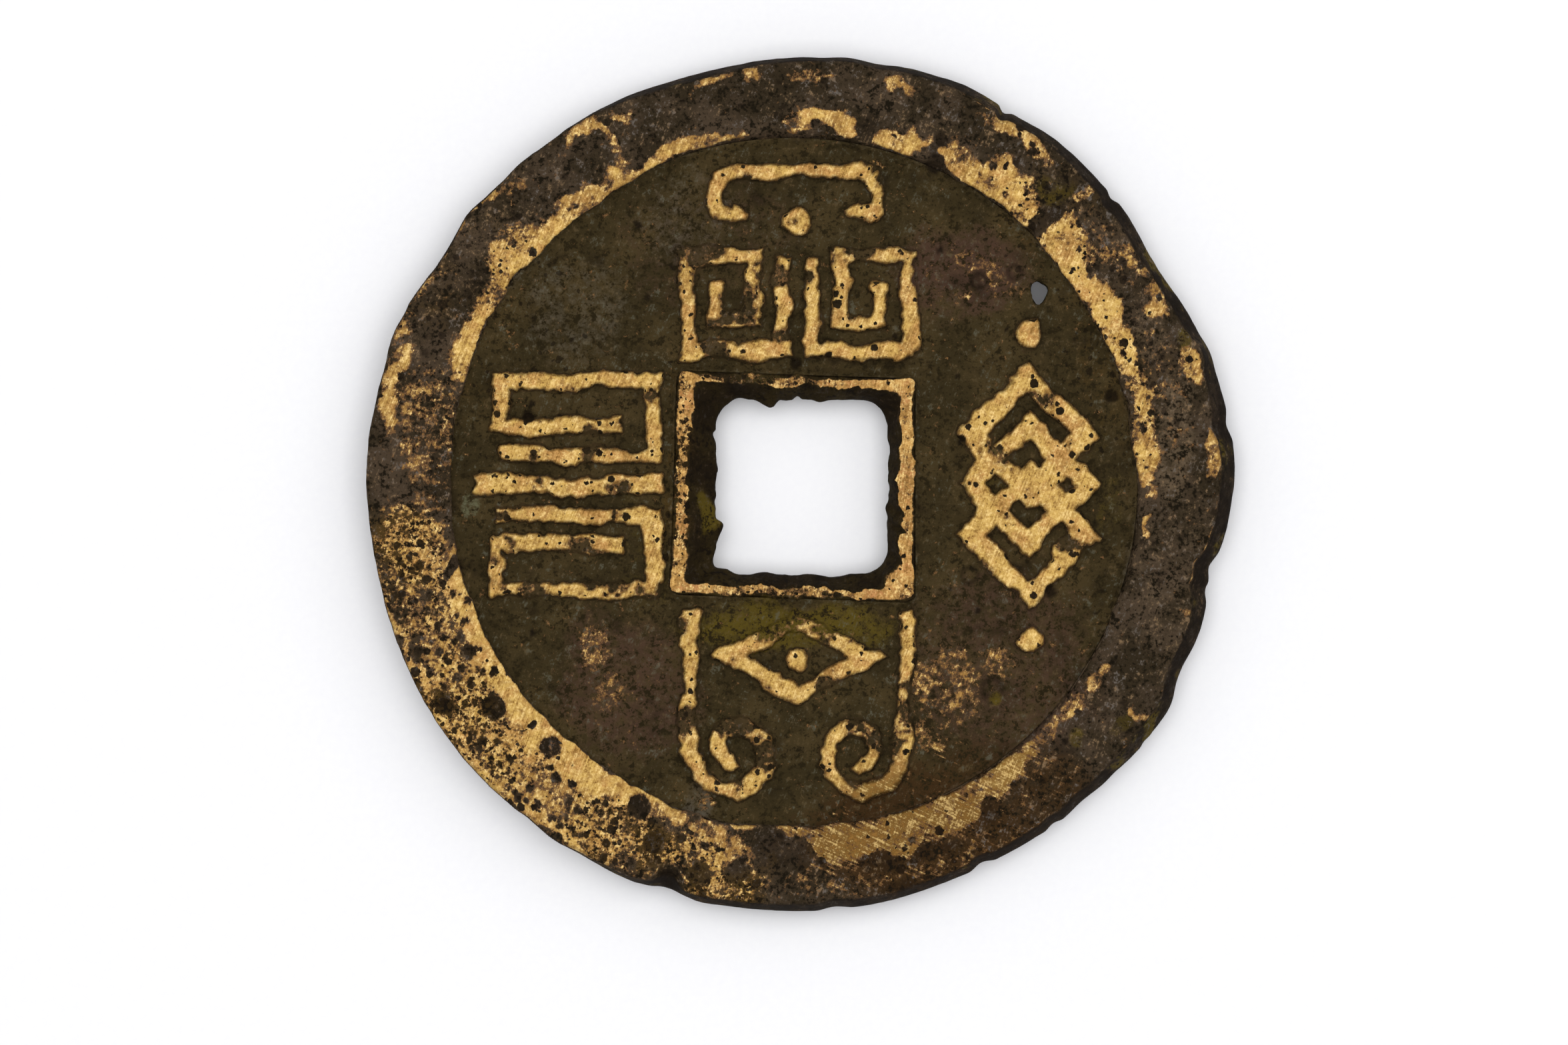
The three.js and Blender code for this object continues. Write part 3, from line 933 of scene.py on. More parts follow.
@dataclass
class OuterRim:
    """The broad outer rim, with its worn outline, its dents and its rubbed inner edge."""

    front: Face
    back: Face
    columns: int = 900
    edge_radius: float = 18.9
    inner_radius: float = 15.3
    edge_band: float = 0.2
    foot_share: float = 0.5
    foot_limit: float = 0.02
    wall_wear: float = 0.1
    # Dust on the inner walls, which also paints them paler to lift their shade.
    wall_dust_and_light: float = 0.6
    parting: Pair = (1.2, 0.25)
    grain: Grain = field(default_factory=lambda: Grain(3))
    chips: Bumps = Bumps(1.4, 4, 0.035)
    front_chips: Bumps = Bumps(0.9, 3, 0.035)
    inner_chips: Bumps = Bumps(0.9, 5, 0.22)
    waves: Bumps = Bumps(2.4, 4, 0.022, 0.022)
    ripples: Bumps = Bumps(0.5, 2, 0.012)
    parting_wear: Bumps = Bumps(1.9, 1, 0.25)
    bites: Bumps = Bumps(0.8, 4, 0.42, 0.0, 9.0)
    crest_wear: Bumps = Bumps(0.6, 3, 1.4, 0.8)
    # How dark the outer wall gets: dirt, and painted shade.
    outer_darkening: Bumps = Bumps(0.7, 4, 0.8, 0.9)
    inner_dirt: Bumps = Bumps(1.1, 4, 0.8, 0.02)
    mossy: Bumps = Bumps(1.4, 4, 3.0, -0.4, 4.0)
    outline: tuple[Mark, ...] = each(
        Mark,
        (160, 22, 0.1), (160, 5, 0.13), (80, 60, 0.12), (6, 20, 0.16), (345, 14, 0.12),
        (285, 14, 0.06), (246, 14, 0.16), (8, 2.5, -0.15), (18, 3, 0.08), (31, 8, -0.08),
        (42.4, 1.4, -0.14), (61, 1.3, -0.2), (75, 5, 0.1), (83, 4, 0.1), (130, 5, 0.08),
        (140, 3, 0.07), (235.5, 5, 0.15), (252, 2.6, -0.1), (257.5, 4, 0.1), (275, 3, -0.13),
        (296, 2.2, -0.17), (307, 1.6, -0.1), (312, 4, -0.1), (323.5, 1.2, -0.06),
        (329, 4, 0.12), (335, 5, -0.12), (340, 4, -0.08), (345.3, 1.6, -0.08),
        (348.8, 2.4, -0.15),
    )
    front_edge: tuple[Mark, ...] = each(
        Mark,
        (212, 50, 0.25), (300, 55, 0.14), (60, 50, -0.02), (346, 5, -0.1), (252, 3, -0.25),
        (106, 20, -0.2), (147, 7, -0.12), (41.5, 3, -0.08), (9, 6, -0.12), (18.5, 4, 0.2),
        (30, 5, 0.12),
    )
    # Where the wear reaches over the outer edge, with less dirt and painted shade on the wall.
    worn_over: tuple[Mark, ...] = each(Mark, (205, 62, 0.4))
    edge_rub: tuple[Mark, ...] = each(
        Mark,
        (352, 20, 0.4), (310, 24, 0.28), (222, 40, 0.35), (140, 20, 0.35), (62, 14, 0.3),
    )
    # Painted light: more paleness on the inner wall round 322 degrees, to lift its shade.
    wall_light_marks: tuple[Mark, ...] = each(Mark, (322, 45, 1.0))
    inner_edge: tuple[Mark, ...] = each(
        Mark,
        (90, 16, 0.26), (84.5, 1.2, 0.2), (66, 3, 0.2), (47.6, 1.4, 0.25), (32, 20, -0.28),
        (350, 26, 0.1), (9, 14, -0.22), (128, 20, -0.36), (200, 90, -0.28), (193, 3, 0.15),
        (232, 24, -0.16), (272, 18, -0.18), (312, 16, 0.12),
    )

    def stations(self, degrees: Array) -> list[Station]:
        """Takes the section from the CAD rim, with the finer wear of its edges.

        Args:
            degrees: the angles of the points of a row.

        Returns:
            The loops, up the inner wall, out over the front and back under it.
        """
        loops = CadLoops("outer_rim")
        level = loops.levels
        edge_line = circle(degrees, self.edge_radius)
        inner_line = circle(degrees, self.inner_radius)
        chipped = self.chips.read(self.grain, edge_line) + risen(self.outline, degrees)
        edge = chipped + risen(self.front_edge, degrees)
        edge += self.front_chips.read(self.grain, edge_line)
        inner = risen(self.inner_edge, degrees) + self.inner_chips.read(self.grain, inner_line)
        foot = np.minimum(self.foot_share * inner, self.foot_limit)
        reach = partial(loops.reach, degrees)
        return [
            Station(reach(5) + foot, level[5], 5),
            Station(reach(7, False) + inner, level[7], 3),
            Station(reach(7, False) + inner + self.edge_band, level[7], 32),
            Station(reach(7) + edge - self.edge_band, level[7], 4),
            Station(reach(7) + edge, level[7], 3),
            Station(reach(6) + edge, level[6], 7),
            Station(reach(4) + chipped, level[4], 4),
            Station(reach(3) + chipped, level[3], 6),
            Station(reach(1) + chipped, level[1], 3),
            Station(reach(0) + chipped, level[0], 24),
            Station(reach(0, False) + inner, level[0], 5),
            Station(reach(2) + foot, level[2], 2),
        ]

    def aged(self, surface: Surface, normals: Array, middle: float, edge: Array) -> None:
        """Adds the wear and the dirt of the rim's walls and edges, the painted shade of its outer
        wall and the painted light of its inner wall.

        Args:
            surface: the rim.
            normals: the way each point faces.
            middle: the height of the coin's middle.
            edge: how far out the front's inner edge lies at each point.
        """
        points, grain = surface.points, self.grain
        degrees = angles_of(points)
        upright = 1 - np.abs(normals[:, 2])
        steep = ramp(upright, 0.5, 0.8)
        outside = turned_out(points, normals)
        fallen = middle - np.abs(points[:, 2] - middle)
        line, half = self.parting
        parting = np.exp(-(((points[:, 2] - line) / half) ** 2))
        worn = self.wall_wear + parting * self.parting_wear.read(grain, points)
        surface.add(Tone.WEAR, upright * outside * worn)
        from_edge = np.hypot(points[:, 0], points[:, 1]) - edge
        bitten = ramp(self.bites.read(grain, points) - from_edge, 0, 0.09)
        surface.add(Tone.WEAR, -bitten)
        # Dust and painted light: the inner wall is painted paler to lift its shade, most round 322
        # degrees.
        dust_and_light = self.wall_dust_and_light + risen(self.wall_light_marks, degrees)
        surface.add(Tone.DUST, dust_and_light * steep * ~outside)
        crest = ramp(upright, 0.04, 0.24) * ramp(fallen, 0.13, 0.05) * outside
        rubbed = risen(self.edge_rub, degrees) * self.crest_wear.read(grain, points)
        surface.add(Tone.WEAR, crest * rubbed)
        # Dirt and painted shade: the outer wall and the outer edge of the top get darker, to stand
        # for the wall's shade and its shadow; less where the wear reaches over.
        below = ramp(fallen - risen(self.worn_over, degrees), 0.07, 0.17)
        outer_wall_dirt_and_shade = below * self.outer_darkening.read(grain, points)
        inner_wall = steep * self.inner_dirt.read(grain, points)
        surface.add(Tone.GRIME, np.where(outside, outer_wall_dirt_and_shade, inner_wall))
        surface.add(Tone.MOSS, outside * outer_wall_dirt_and_shade * smooth(self.mossy.read(grain, points)))

    def build(self, finish: Finish) -> bpy.types.Object:
        """Builds the rim.

        Args:
            finish: its material.

        Returns:
            The piece.
        """
        degrees = all_round(self.columns)
        ring = Ring(self.stations(degrees), degrees)
        ring.soften(passes=3, hidden=11)
        normals = ring.normals()
        surface = ring.surface()
        points = surface.points
        middle = points[:, 2].max() / 2
        depth = self.waves.read(self.grain, points) + self.ripples.read(self.grain, points)
        for face in (self.front, self.back):
            flat = np.clip(normals[:, 2] * face.side.value, 0, 1)
            chosen = face.holds(points, middle)
            depth += face.dented(surface, chosen, dirty=0.6) * flat
            face.toned(surface, chosen)
            face.rubbed_rim(surface, chosen & (flat > 0.5))
        inner_edge = np.tile(ring.stations[1].reach, len(ring.reach))
        self.aged(surface, normals, middle, inner_edge)
        surface.points = ring.worn(points, normals, depth)
        return surface.piece("worn_outer_rim", "outer_rim", "worn_rim", finish)


@dataclass(frozen=True)
class Skew:
    """A small turn of the front of the hole's frame, all but its right side."""

    turn: float = 0.035
    height: Pair = (1.5, 2.1)
    left: Pair = (4.5, -4.5)
    near: Pair = (9.0, 5.6)

    def moved(self, points: Array) -> Array:
        """Turns points clockwise, the more the nearer they lie to the frame's front."""
        turn = self.turn * ramp(points[:, 2], *self.height)
        turn *= ramp(np.abs(points[:, :2]).max(axis=1), *self.near)
        out = points.copy()
        out[:, 0] += turn * points[:, 1] * ramp(points[:, 0], *self.left)
        out[:, 1] -= turn * points[:, 0]
        return out


@dataclass
class HoleRim:
    """The raised frame of the hole, with its sloping ragged walls."""

    front: Face
    back: Face
    columns: int = 800
    middle: float = 1.3
    skew: Skew = Skew()
    way_radius: float = 5.0
    side_radius: float = 6.0
    foot_share: float = 0.8
    foot_rise: float = 0.02
    outer_darkening: float = 0.1
    inner_dirt: float = 0.6
    grain: Grain = field(default_factory=lambda: Grain(5))
    chips: Bumps = Bumps(0.7, 3, 0.06)
    mouth_chips: Bumps = Bumps(0.6, 4, 0.4, 0.0, 9.0)
    side_chips: Bumps = Bumps(0.6, 4, 0.26, 0.0, 3.0)
    waves: Bumps = Bumps(1.3, 4, 0.02, 0.02)
    ripples: Bumps = Bumps(0.4, 2, 0.012)
    wall_waves: Bumps = Bumps(0.9, 3, 0.05)
    ridge_wear: Bumps = Bumps(1.7, 3, 0.4, 0.88)
    dirt: Bumps = Bumps(0.8, 4, 0.35)
    way: tuple[Mark, ...] = each(
        Mark,
        (109, 9, -0.42), (90, 4, 0.14), (75, 7, -0.08), (125, 7, 0.1), (149, 4, 0.16),
        (170, 12, -0.08), (192, 5, 0.08), (209, 8, -0.4), (224, 7, 0.42), (250, 9, -0.1),
        (292, 10, 0.14), (345, 6, -0.12), (20, 9, 0.1), (358, 5, 0.08),
    )
    corners: tuple[Mark, ...] = each(
        Mark,
        (137, 4.5, 0.2), (222, 4.5, 0.2), (43, 4.0, 0.14), (318, 4.0, 0.14),
    )
    mouth: tuple[Mark, ...] = each(
        Mark,
        (92, 8, -0.1), (70, 8, 0.08), (120, 12, 0.1), (5, 5, -0.16), (345, 7, 0.14),
        (330, 5, 0.1), (316, 9, -0.5), (325, 3, 0.2), (338, 3, 0.25), (222, 4, 0.12),
        (180, 30, 0.06), (262, 16, 0.08),
    )

    def stations(self, degrees: Array) -> list[Station]:
        """Takes the section from the CAD frame, with the finer wear of its edges.

        Args:
            degrees: the angles of the points of a row.

        Returns:
            The loops: up the wall of the way through, out over the front and back under it.
        """
        loops = CadLoops("hole_rim", square=True)
        level = loops.levels
        way_line = circle(degrees, self.way_radius)
        side_line = circle(degrees, self.side_radius)
        way = risen(self.way, degrees) + self.chips.read(self.grain, way_line)
        rough = self.mouth_chips.read(self.grain, way_line)
        side = risen(self.corners, degrees) + self.side_chips.read(self.grain, side_line)
        reach = partial(loops.reach, degrees)
        return [
            Station(reach(2) + way * self.foot_share + self.foot_rise, level[2], 5),
            Station(reach(3) + way, level[3], 18),
            Station(reach(5, False) + risen(self.mouth, degrees) + rough, level[5], 9),
            Station(reach(5) + side, level[5], 6),
            Station(reach(4), level[4], 2),
            Station(reach(1), level[1], 6),
            Station(reach(0) + side, level[0], 8),
            Station(reach(0, False) + rough, level[0], 14),
        ]

    def build(self, finish: Finish) -> bpy.types.Object:
        """Builds the frame.

        Args:
            finish: its material.

        Returns:
            The piece.
        """
        degrees = all_round(self.columns)
        ring = Ring(self.stations(degrees), degrees)
        ring.soften(passes=2, hidden=4)
        normals = ring.normals()
        surface = ring.surface()
        points, grain = surface.points, self.grain
        flat = normals[:, 2] ** 2
        depth = self.waves.read(grain, points) + self.ripples.read(grain, points)
        depth += (1 - flat) * self.wall_waves.read(grain, points)
        ridge = ramp(flat, 0.8, 0.98)
        surface.add(Tone.WEAR, ridge * self.ridge_wear.read(grain, points))
        for face in (self.front, self.back):
            chosen = face.holds(points, self.middle)
            sunk = face.dented(surface, chosen, dirty=0.8)
            depth += sunk * np.clip(normals[:, 2] * face.side.value, 0, 1)
            face.toned(surface, chosen)
            stained = greatest(face.frame_stains, points[:, 0], points[:, 1])
            surface.add(Tone.WEAR, -stained * chosen)
        dirt = np.where(turned_out(points, normals), self.outer_darkening, self.inner_dirt)
        surface.add(Tone.GRIME, (1 - ridge) * (dirt + self.dirt.read(grain, points)))
        surface.add(Tone.PITTED, 0.35 * ridge)
        surface.points = self.skew.moved(ring.worn(points, normals, depth))
        return surface.piece("worn_hole_rim", "hole_rim", "worn_rim", finish)


class Outline:
    """The outline of a raised ornament, read from the flat face of its CAD node."""

    DIGITS = 3
    LEVEL = 0.002
    LEAST_SQUARE = 1e-12
    AT_ONCE = 4096

    def __init__(self, node: str, side: Side) -> None:
        """Collects the edges round the face.

        Args:
            node: the CAD node.
            side: the face of the coin that it stands on.
        """
        low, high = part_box(node)
        self.low, self.high = np.array(low) / MM, np.array(high) / MM
        self.side = side
        top = self.high[2] if side is Side.FRONT else self.low[2]
        points = np.round(node_points(node), self.DIGITS)
        flat = []
        for polygon in frame["nodes"][node].data.polygons:
            corners = points[list(polygon.vertices)]
            if (np.abs(corners[:, 2] - top) <= self.LEVEL).all():
                flat.append([tuple(corner[:2].tolist()) for corner in corners])
        edges = np.array(border(flat))
        self.starts, self.ends = edges[:, 0], edges[:, 1]

    def inside(self, points: Array) -> Array:
        """How far inside the outline points lie, negative where they are outside.

        Args:
            points: n by 3; their Z doesn't count.

        Returns:
            The distance of each.
        """
        out = np.empty(len(points))
        along = self.ends - self.starts
        length = np.maximum((along**2).sum(axis=1), self.LEAST_SQUARE)
        y1, y2 = self.starts[:, 1], self.ends[:, 1]
        rise = np.where(y2 == y1, 1.0, y2 - y1)
        for first in range(0, len(points), self.AT_ONCE):
            part = slice(first, first + self.AT_ONCE)
            place = points[part, None, :2]
            share = np.clip(((place - self.starts) * along).sum(axis=2) / length, 0, 1)
            gap = place - (self.starts + share[..., None] * along)
            nearest = np.sqrt((gap**2).sum(axis=2)).min(axis=1)
            y = place[..., 1]
            at = self.starts[:, 0] + (y - y1) / rise * along[:, 0]
            crosses = ((y1 > y) != (y2 > y)) & (place[..., 0] < at)
            out[part] = np.where(crosses.sum(axis=1) % 2 == 1, nearest, -nearest)
        return out

    def near(self, points: Array, reach: float) -> Array:
        """How near points outside it are: 1 at the outline, 0 from reach on."""
        above = points[:, :2] > self.low[:2] - reach
        close = (above & (points[:, :2] < self.high[:2] + reach)).all(axis=1)
        out = np.zeros(len(points))
        out[close] = ramp(self.inside(points[close]), -reach, 0)
        return out


@dataclass
class FieldPlate:
    """The sunk field between the two rims, with the casting flaw that goes through it."""

    front: Face
    back: Face
    outlines: Sequence[Outline]
    columns: int = 600
    rows: int = 72
    wall_rows: int = 3
    tuck: float = 0.06
    skew: Skew = Skew()
    flaw: Pair = (10.68, 8.5)
    flaw_half: Pair = (0.38, 0.54)
    # The waves of the flaw's edge: their height, their number and their start.
    flaw_waves: tuple[tuple[float, int, float], ...] = ((0.1, 3, 0.6), (0.06, 5, 0.0))
    fillet: float = 0.22
    fillet_reach: float = 0.5
    fillet_most: float = 1.15
    corner_dust_and_light: float = 0.3
    blotch_dirt: float = 0.5
    grain: Grain = field(default_factory=lambda: Grain(8))
    waves: Bumps = Bumps(2.3, 4, 0.03)
    ripples: Bumps = Bumps(0.6, 2, 0.014)
    blotches: Bumps = Bumps(0.9, 4)
    # The dirt in the corners and at the ornaments' feet: its least, and its share of blotches.
    corner_dirt: Pair = (0.05, 0.7)
    foot_dirt: Pair = (0.02, 0.45)

    def ring(self) -> Ring:
        """Spans the closed ring of the field between the CAD solids of the two rims."""
        degrees = all_round(self.columns)
        rim = CadLoops("outer_rim")
        hole = CadLoops("hole_rim", square=True)
        front_z, back_z = rim.levels[5], rim.levels[2]
        stations = [
            Station(hole.reach(degrees, 4) - self.tuck, front_z, self.rows - 1),
            Station(rim.reach(degrees, 5) + self.tuck, front_z, self.wall_rows + 1),
            Station(rim.reach(degrees, 2) + self.tuck, back_z, self.rows - 1),
            Station(hole.reach(degrees, 1) - self.tuck, back_z, self.wall_rows + 1),
        ]
        return Ring(stations, degrees)

    def from_corner(self, ring: Ring) -> Array:
        """How far each point lies from the nearer of the two rims."""
        hole, rim, rim_under, hole_under = (station.reach for station in ring.stations)
        upper = ring.height > (ring.height.max() + ring.height.min()) / 2
        from_hole = np.abs(ring.reach - np.where(upper, hole, hole_under))
        from_rim = np.abs(ring.reach - np.where(upper, rim, rim_under))
        return np.minimum(from_hole, from_rim).ravel() - self.tuck

    def rows_from(self, first: int, ring: Ring) -> Array:
        """Tells which points lie on the face whose rows start at this one."""
        chosen = np.zeros(ring.reach.shape, bool)
        chosen[first : first + self.rows] = True
        return chosen.ravel()

    def opened(self, surface: Surface) -> None:
        """Cuts the flaw through the field: takes out its faces and walls it in."""
        columns = self.columns
        last = 2 * self.rows + self.wall_rows - 1

        def under(corners: Array) -> Array:
            """The points of the back that lie under those of the front."""
            row, column = np.divmod(corners, columns)
            return (last - row) * columns + column

        away = np.hypot(*self.in_flaw(surface.points).T).reshape(-1, columns)[: self.rows]
        quads = quads_over((away[:-1, :-1] + away[1:, :-1] + away[:-1, 1:] + away[1:, 1:]) / 4 < 1)
        keep = np.ones(len(surface.faces), bool)
        keep[quads[:, 0]] = False
        keep[under(quads[:, 0]) - columns] = False
        edges = np.array(border(quads[:, ::-1].tolist()))
        walls = np.concatenate([edges, under(edges)[:, ::-1]], axis=1)
        surface.faces = np.concatenate([surface.faces[keep], walls])
        self.snap(surface.points, np.concatenate([edges[:, 0], under(edges[:, 0])]))

    def in_flaw(self, points: Array) -> Array:
        """Where points lie from the flaw's middle, in halves of its size, n by 2."""
        return (points[:, :2] - self.flaw) / self.flaw_half

    def snap(self, points: Array, chosen: Array) -> None:
        """Moves the chosen points onto the flaw's ragged edge."""
        across, upward = self.in_flaw(points[chosen]).T
        turn = np.arctan2(upward, across)
        waves = [rise * np.sin(count * turn + start) for rise, count, start in self.flaw_waves]
        edge = (1 + sum(waves)) * np.array([np.cos(turn), np.sin(turn)])
        points[chosen, :2] = self.flaw + edge.T * self.flaw_half

    def dirtied(self, surface: Surface, corner: Array, sides: dict[Side, Array]) -> None:
        """Adds the blotches of dirt, thicker in the corners and at the ornaments' feet, and paler
        dust with painted light in the corners.

        Args:
            surface: the field.
            corner: how far each point lies from the nearer rim.
            sides: which points belong to each side.
        """
        blotches = self.blotches.read(self.grain, surface.points)
        least, share = self.corner_dirt
        dirt = (least + share * blotches) * ramp(corner, 0.35, 0)
        surface.add(Tone.GRIME, dirt)
        # Dust and painted light: the corners at the rims' feet get paler, to lift their shade.
        surface.add(Tone.DUST, self.corner_dust_and_light * ramp(corner, 0.25, 0))
        surface.add(Tone.GRIME, self.blotch_dirt * ramp(blotches, 0.2, 0.6))
        least, share = self.foot_dirt
        for outline in self.outlines:
            near = outline.near(surface.points, reach=0.3) * sides[outline.side]
            surface.add(Tone.GRIME, (least + share * blotches) * near)

    def build(self, finish: Finish) -> bpy.types.Object:
        """Builds the field.

        Args:
            finish: its material.

        Returns:
            The piece.
        """
        ring = self.ring()
        surface = ring.surface()
        points = surface.points
        corner = self.from_corner(ring)
        back_row = self.rows + self.wall_rows
        sides = {Side.FRONT: self.rows_from(0, ring), Side.BACK: self.rows_from(back_row, ring)}
        rise = self.waves.read(self.grain, points) + self.ripples.read(self.grain, points)
        rise += self.fillet * np.clip(1 - corner / self.fillet_reach, 0, self.fillet_most) ** 2
        for face in (self.front, self.back):
            chosen = sides[face.side]
            sunk = face.dented(surface, chosen, dirty=0.9)
            face.toned(surface, chosen)
            ragged = face.grain.moved(points, size=0.9, reach=0.4)
            surface.add(Tone.WEAR, greatest(face.smears, ragged[:, 0], ragged[:, 1]) * chosen)
            points[chosen, 2] += (face.side.value * (rise - sunk))[chosen]
        self.dirtied(surface, corner, sides)
        self.opened(surface)
        surface.points = self.skew.moved(surface.points)
        return surface.piece("cast_field", "field_plate", "dark_field", finish)


@dataclass
class RaisedOrnament:
    """A raised ornament: a worn relief over the outline of its CAD node."""

    MARGIN = 0.3
    JOINS = 20
    LOWEST = -0.6

    node: str
    outline: Outline
    face: Face
    faded: float = 0.0
    pitch: float = 0.06
    skirt: float = 0.18
    slope: Pair = (-0.12, 0.07)
    skirt_drop: float = 0.17
    buried: float = 0.16
    strays: tuple[Pair, ...] = ((1.3, 0.19), (0.3, 0.09))
    lost_depth: float = 0.12
    lost_wear: float = 0.8
    top_pits: float = 0.26
    slope_dirt: float = 0.06
    grain: Grain = field(default_factory=lambda: Grain(21))
    chips: Bumps = Bumps(0.9, 4, 0.22, -0.02)
    fading: Bumps = Bumps(1.3, 4)
    waves: Bumps = Bumps(1.1, 3, 0.02, 0.02)
    ripples: Bumps = Bumps(0.3, 2, 0.02)

    def grid(self) -> tuple[Array, tuple[int, int]]:
        """Lays a grid over the ornament.

        Returns:
            Its points, and the number of its rows and columns.
        """
        low = self.outline.low[:2] - self.MARGIN
        high = self.outline.high[:2] + self.MARGIN
        columns, rows = (np.ceil((high - low) / self.pitch).astype(int) + 1).tolist()
        across, upward = (low[i] + self.pitch * np.arange(n) for i, n in enumerate((columns, rows)))
        x, y = np.meshgrid(across, upward)
        return np.stack([x.ravel(), y.ravel(), np.zeros(x.size)], 1), (rows, columns)

    def cells(self, value: Array) -> Array:
        """Chooses the grid's cells that hold the ornament, with none that meet at a corner only.

        Args:
            value: how far inside the worn outline each point of the grid is.

        Returns:
            Which cells are kept.
        """
        near = [value[:-1, :-1], value[1:, :-1], value[:-1, 1:], value[1:, 1:]]
        kept = np.maximum.reduce(near) > -self.skirt
        for _ in range(self.JOINS):
            a, b, c, d = kept[:-1, :-1], kept[:-1, 1:], kept[1:, :-1], kept[1:, 1:]
            falling = a & d & ~b & ~c
            rising = b & c & ~a & ~d
            if not (falling.any() or rising.any()):
                break
            kept[:-1, 1:] |= falling
            kept[:-1, :-1] |= rising
        return kept

    def relief(self) -> tuple[Array, Array, Array, Array]:
        """Works out the worn relief.

        Returns:
            Its points, its quads, and for each point how far up the stroke's side it lies and
            how much of its top is worn away.
        """
        points, shape = self.grid()
        ragged = points
        for stray in self.strays:
            ragged = self.grain.moved(ragged, *stray)
        inside = self.outline.inside(ragged) + self.chips.read(self.grain, points)
        used, quads = np.unique(quads_over(self.cells(inside.reshape(shape))), return_inverse=True)
        points, inside = points[used], inside[used]
        start, end = self.slope
        climb = np.clip((inside - start) / (end - start), self.LOWEST, 1)
        lost = ramp(self.fading.read(self.grain, points) + self.faded, 0.2, 0.4)
        rise = self.outline.high[2] - self.outline.low[2]
        height = np.where(climb > 0, rise * smooth(climb), self.skirt_drop * climb)
        worn = self.waves.read(self.grain, points) + np.abs(self.ripples.read(self.grain, points))
        points[:, 2] = height - smooth(climb) * (worn + self.lost_depth * lost)
        return points, quads.reshape(-1, 4), climb, lost

    def closed(self, points: Array, quads: Array) -> Surface:
        """Closes the relief with walls and with a bottom that is buried in the field.

        Args:
            points: its points.
            quads: its faces.

        Returns:
            The closed surface: the relief's points come first, then those under them.
        """
        count = len(points)
        under = points.copy()
        under[:, 2] = -self.buried
        edges = np.array(border(quads.tolist()))
        walls = np.concatenate([edges + count, edges[:, ::-1]], axis=1)
        faces = np.concatenate([quads, quads[:, ::-1] + count, walls])
        return Surface(np.concatenate([points, under]), faces)

    def build(self, finish: Finish) -> bpy.types.Object:
        """Builds the ornament.

        Args:
            finish: its material.

        Returns:
            The piece.
        """
        points, quads, climb, lost = self.relief()
        surface = self.closed(points, quads)
        climb, lost = (np.concatenate([values, np.zeros(len(points))]) for values in (climb, lost))
        upper = np.arange(len(surface.points)) < len(points)
        sunk = self.face.dented(surface, upper, dirty=0.9)
        surface.points[:, 2] -= np.minimum(sunk, 0.2) * smooth(climb)
        self.face.toned(surface, upper)
        top = ramp(climb, 0.34, 0.74)
        surface.add(Tone.WEAR, top * (1 - self.lost_wear * lost))
        surface.add(Tone.GRIME, (1 - top) * self.slope_dirt)
        surface.add(Tone.PITTED, top * self.top_pits)
        side = self.face.side
        foot = self.outline.low[2] if side is Side.FRONT else self.outline.high[2]
        surface.points[:, 2] = foot + side.value * surface.points[:, 2]
        if side is Side.BACK:
            surface.faces = surface.faces[:, ::-1]
        return surface.piece(f"worn_{self.node}", self.node, "rubbed_ornament", finish)


@dataclass(frozen=True)
class Lamp:
    """A square lamp that faces the coin: where it hangs and its side in metres, its power."""

    name: str
    place: tuple[float, float, float]
    size: float
    watts: float

    def hang(self) -> None:
        """Hangs the lamp."""
        light = bpy.data.lights.new(self.name, "AREA")
        light.shape = "SQUARE"
        light.size = self.size
        light.energy = self.watts
        lamp = bpy.data.objects.new(self.name, light)
        lamp.location = self.place
        lamp.rotation_euler = (-Vector(self.place)).to_track_quat("-Z", "Y").to_euler()
        bpy.context.scene.collection.objects.link(lamp)


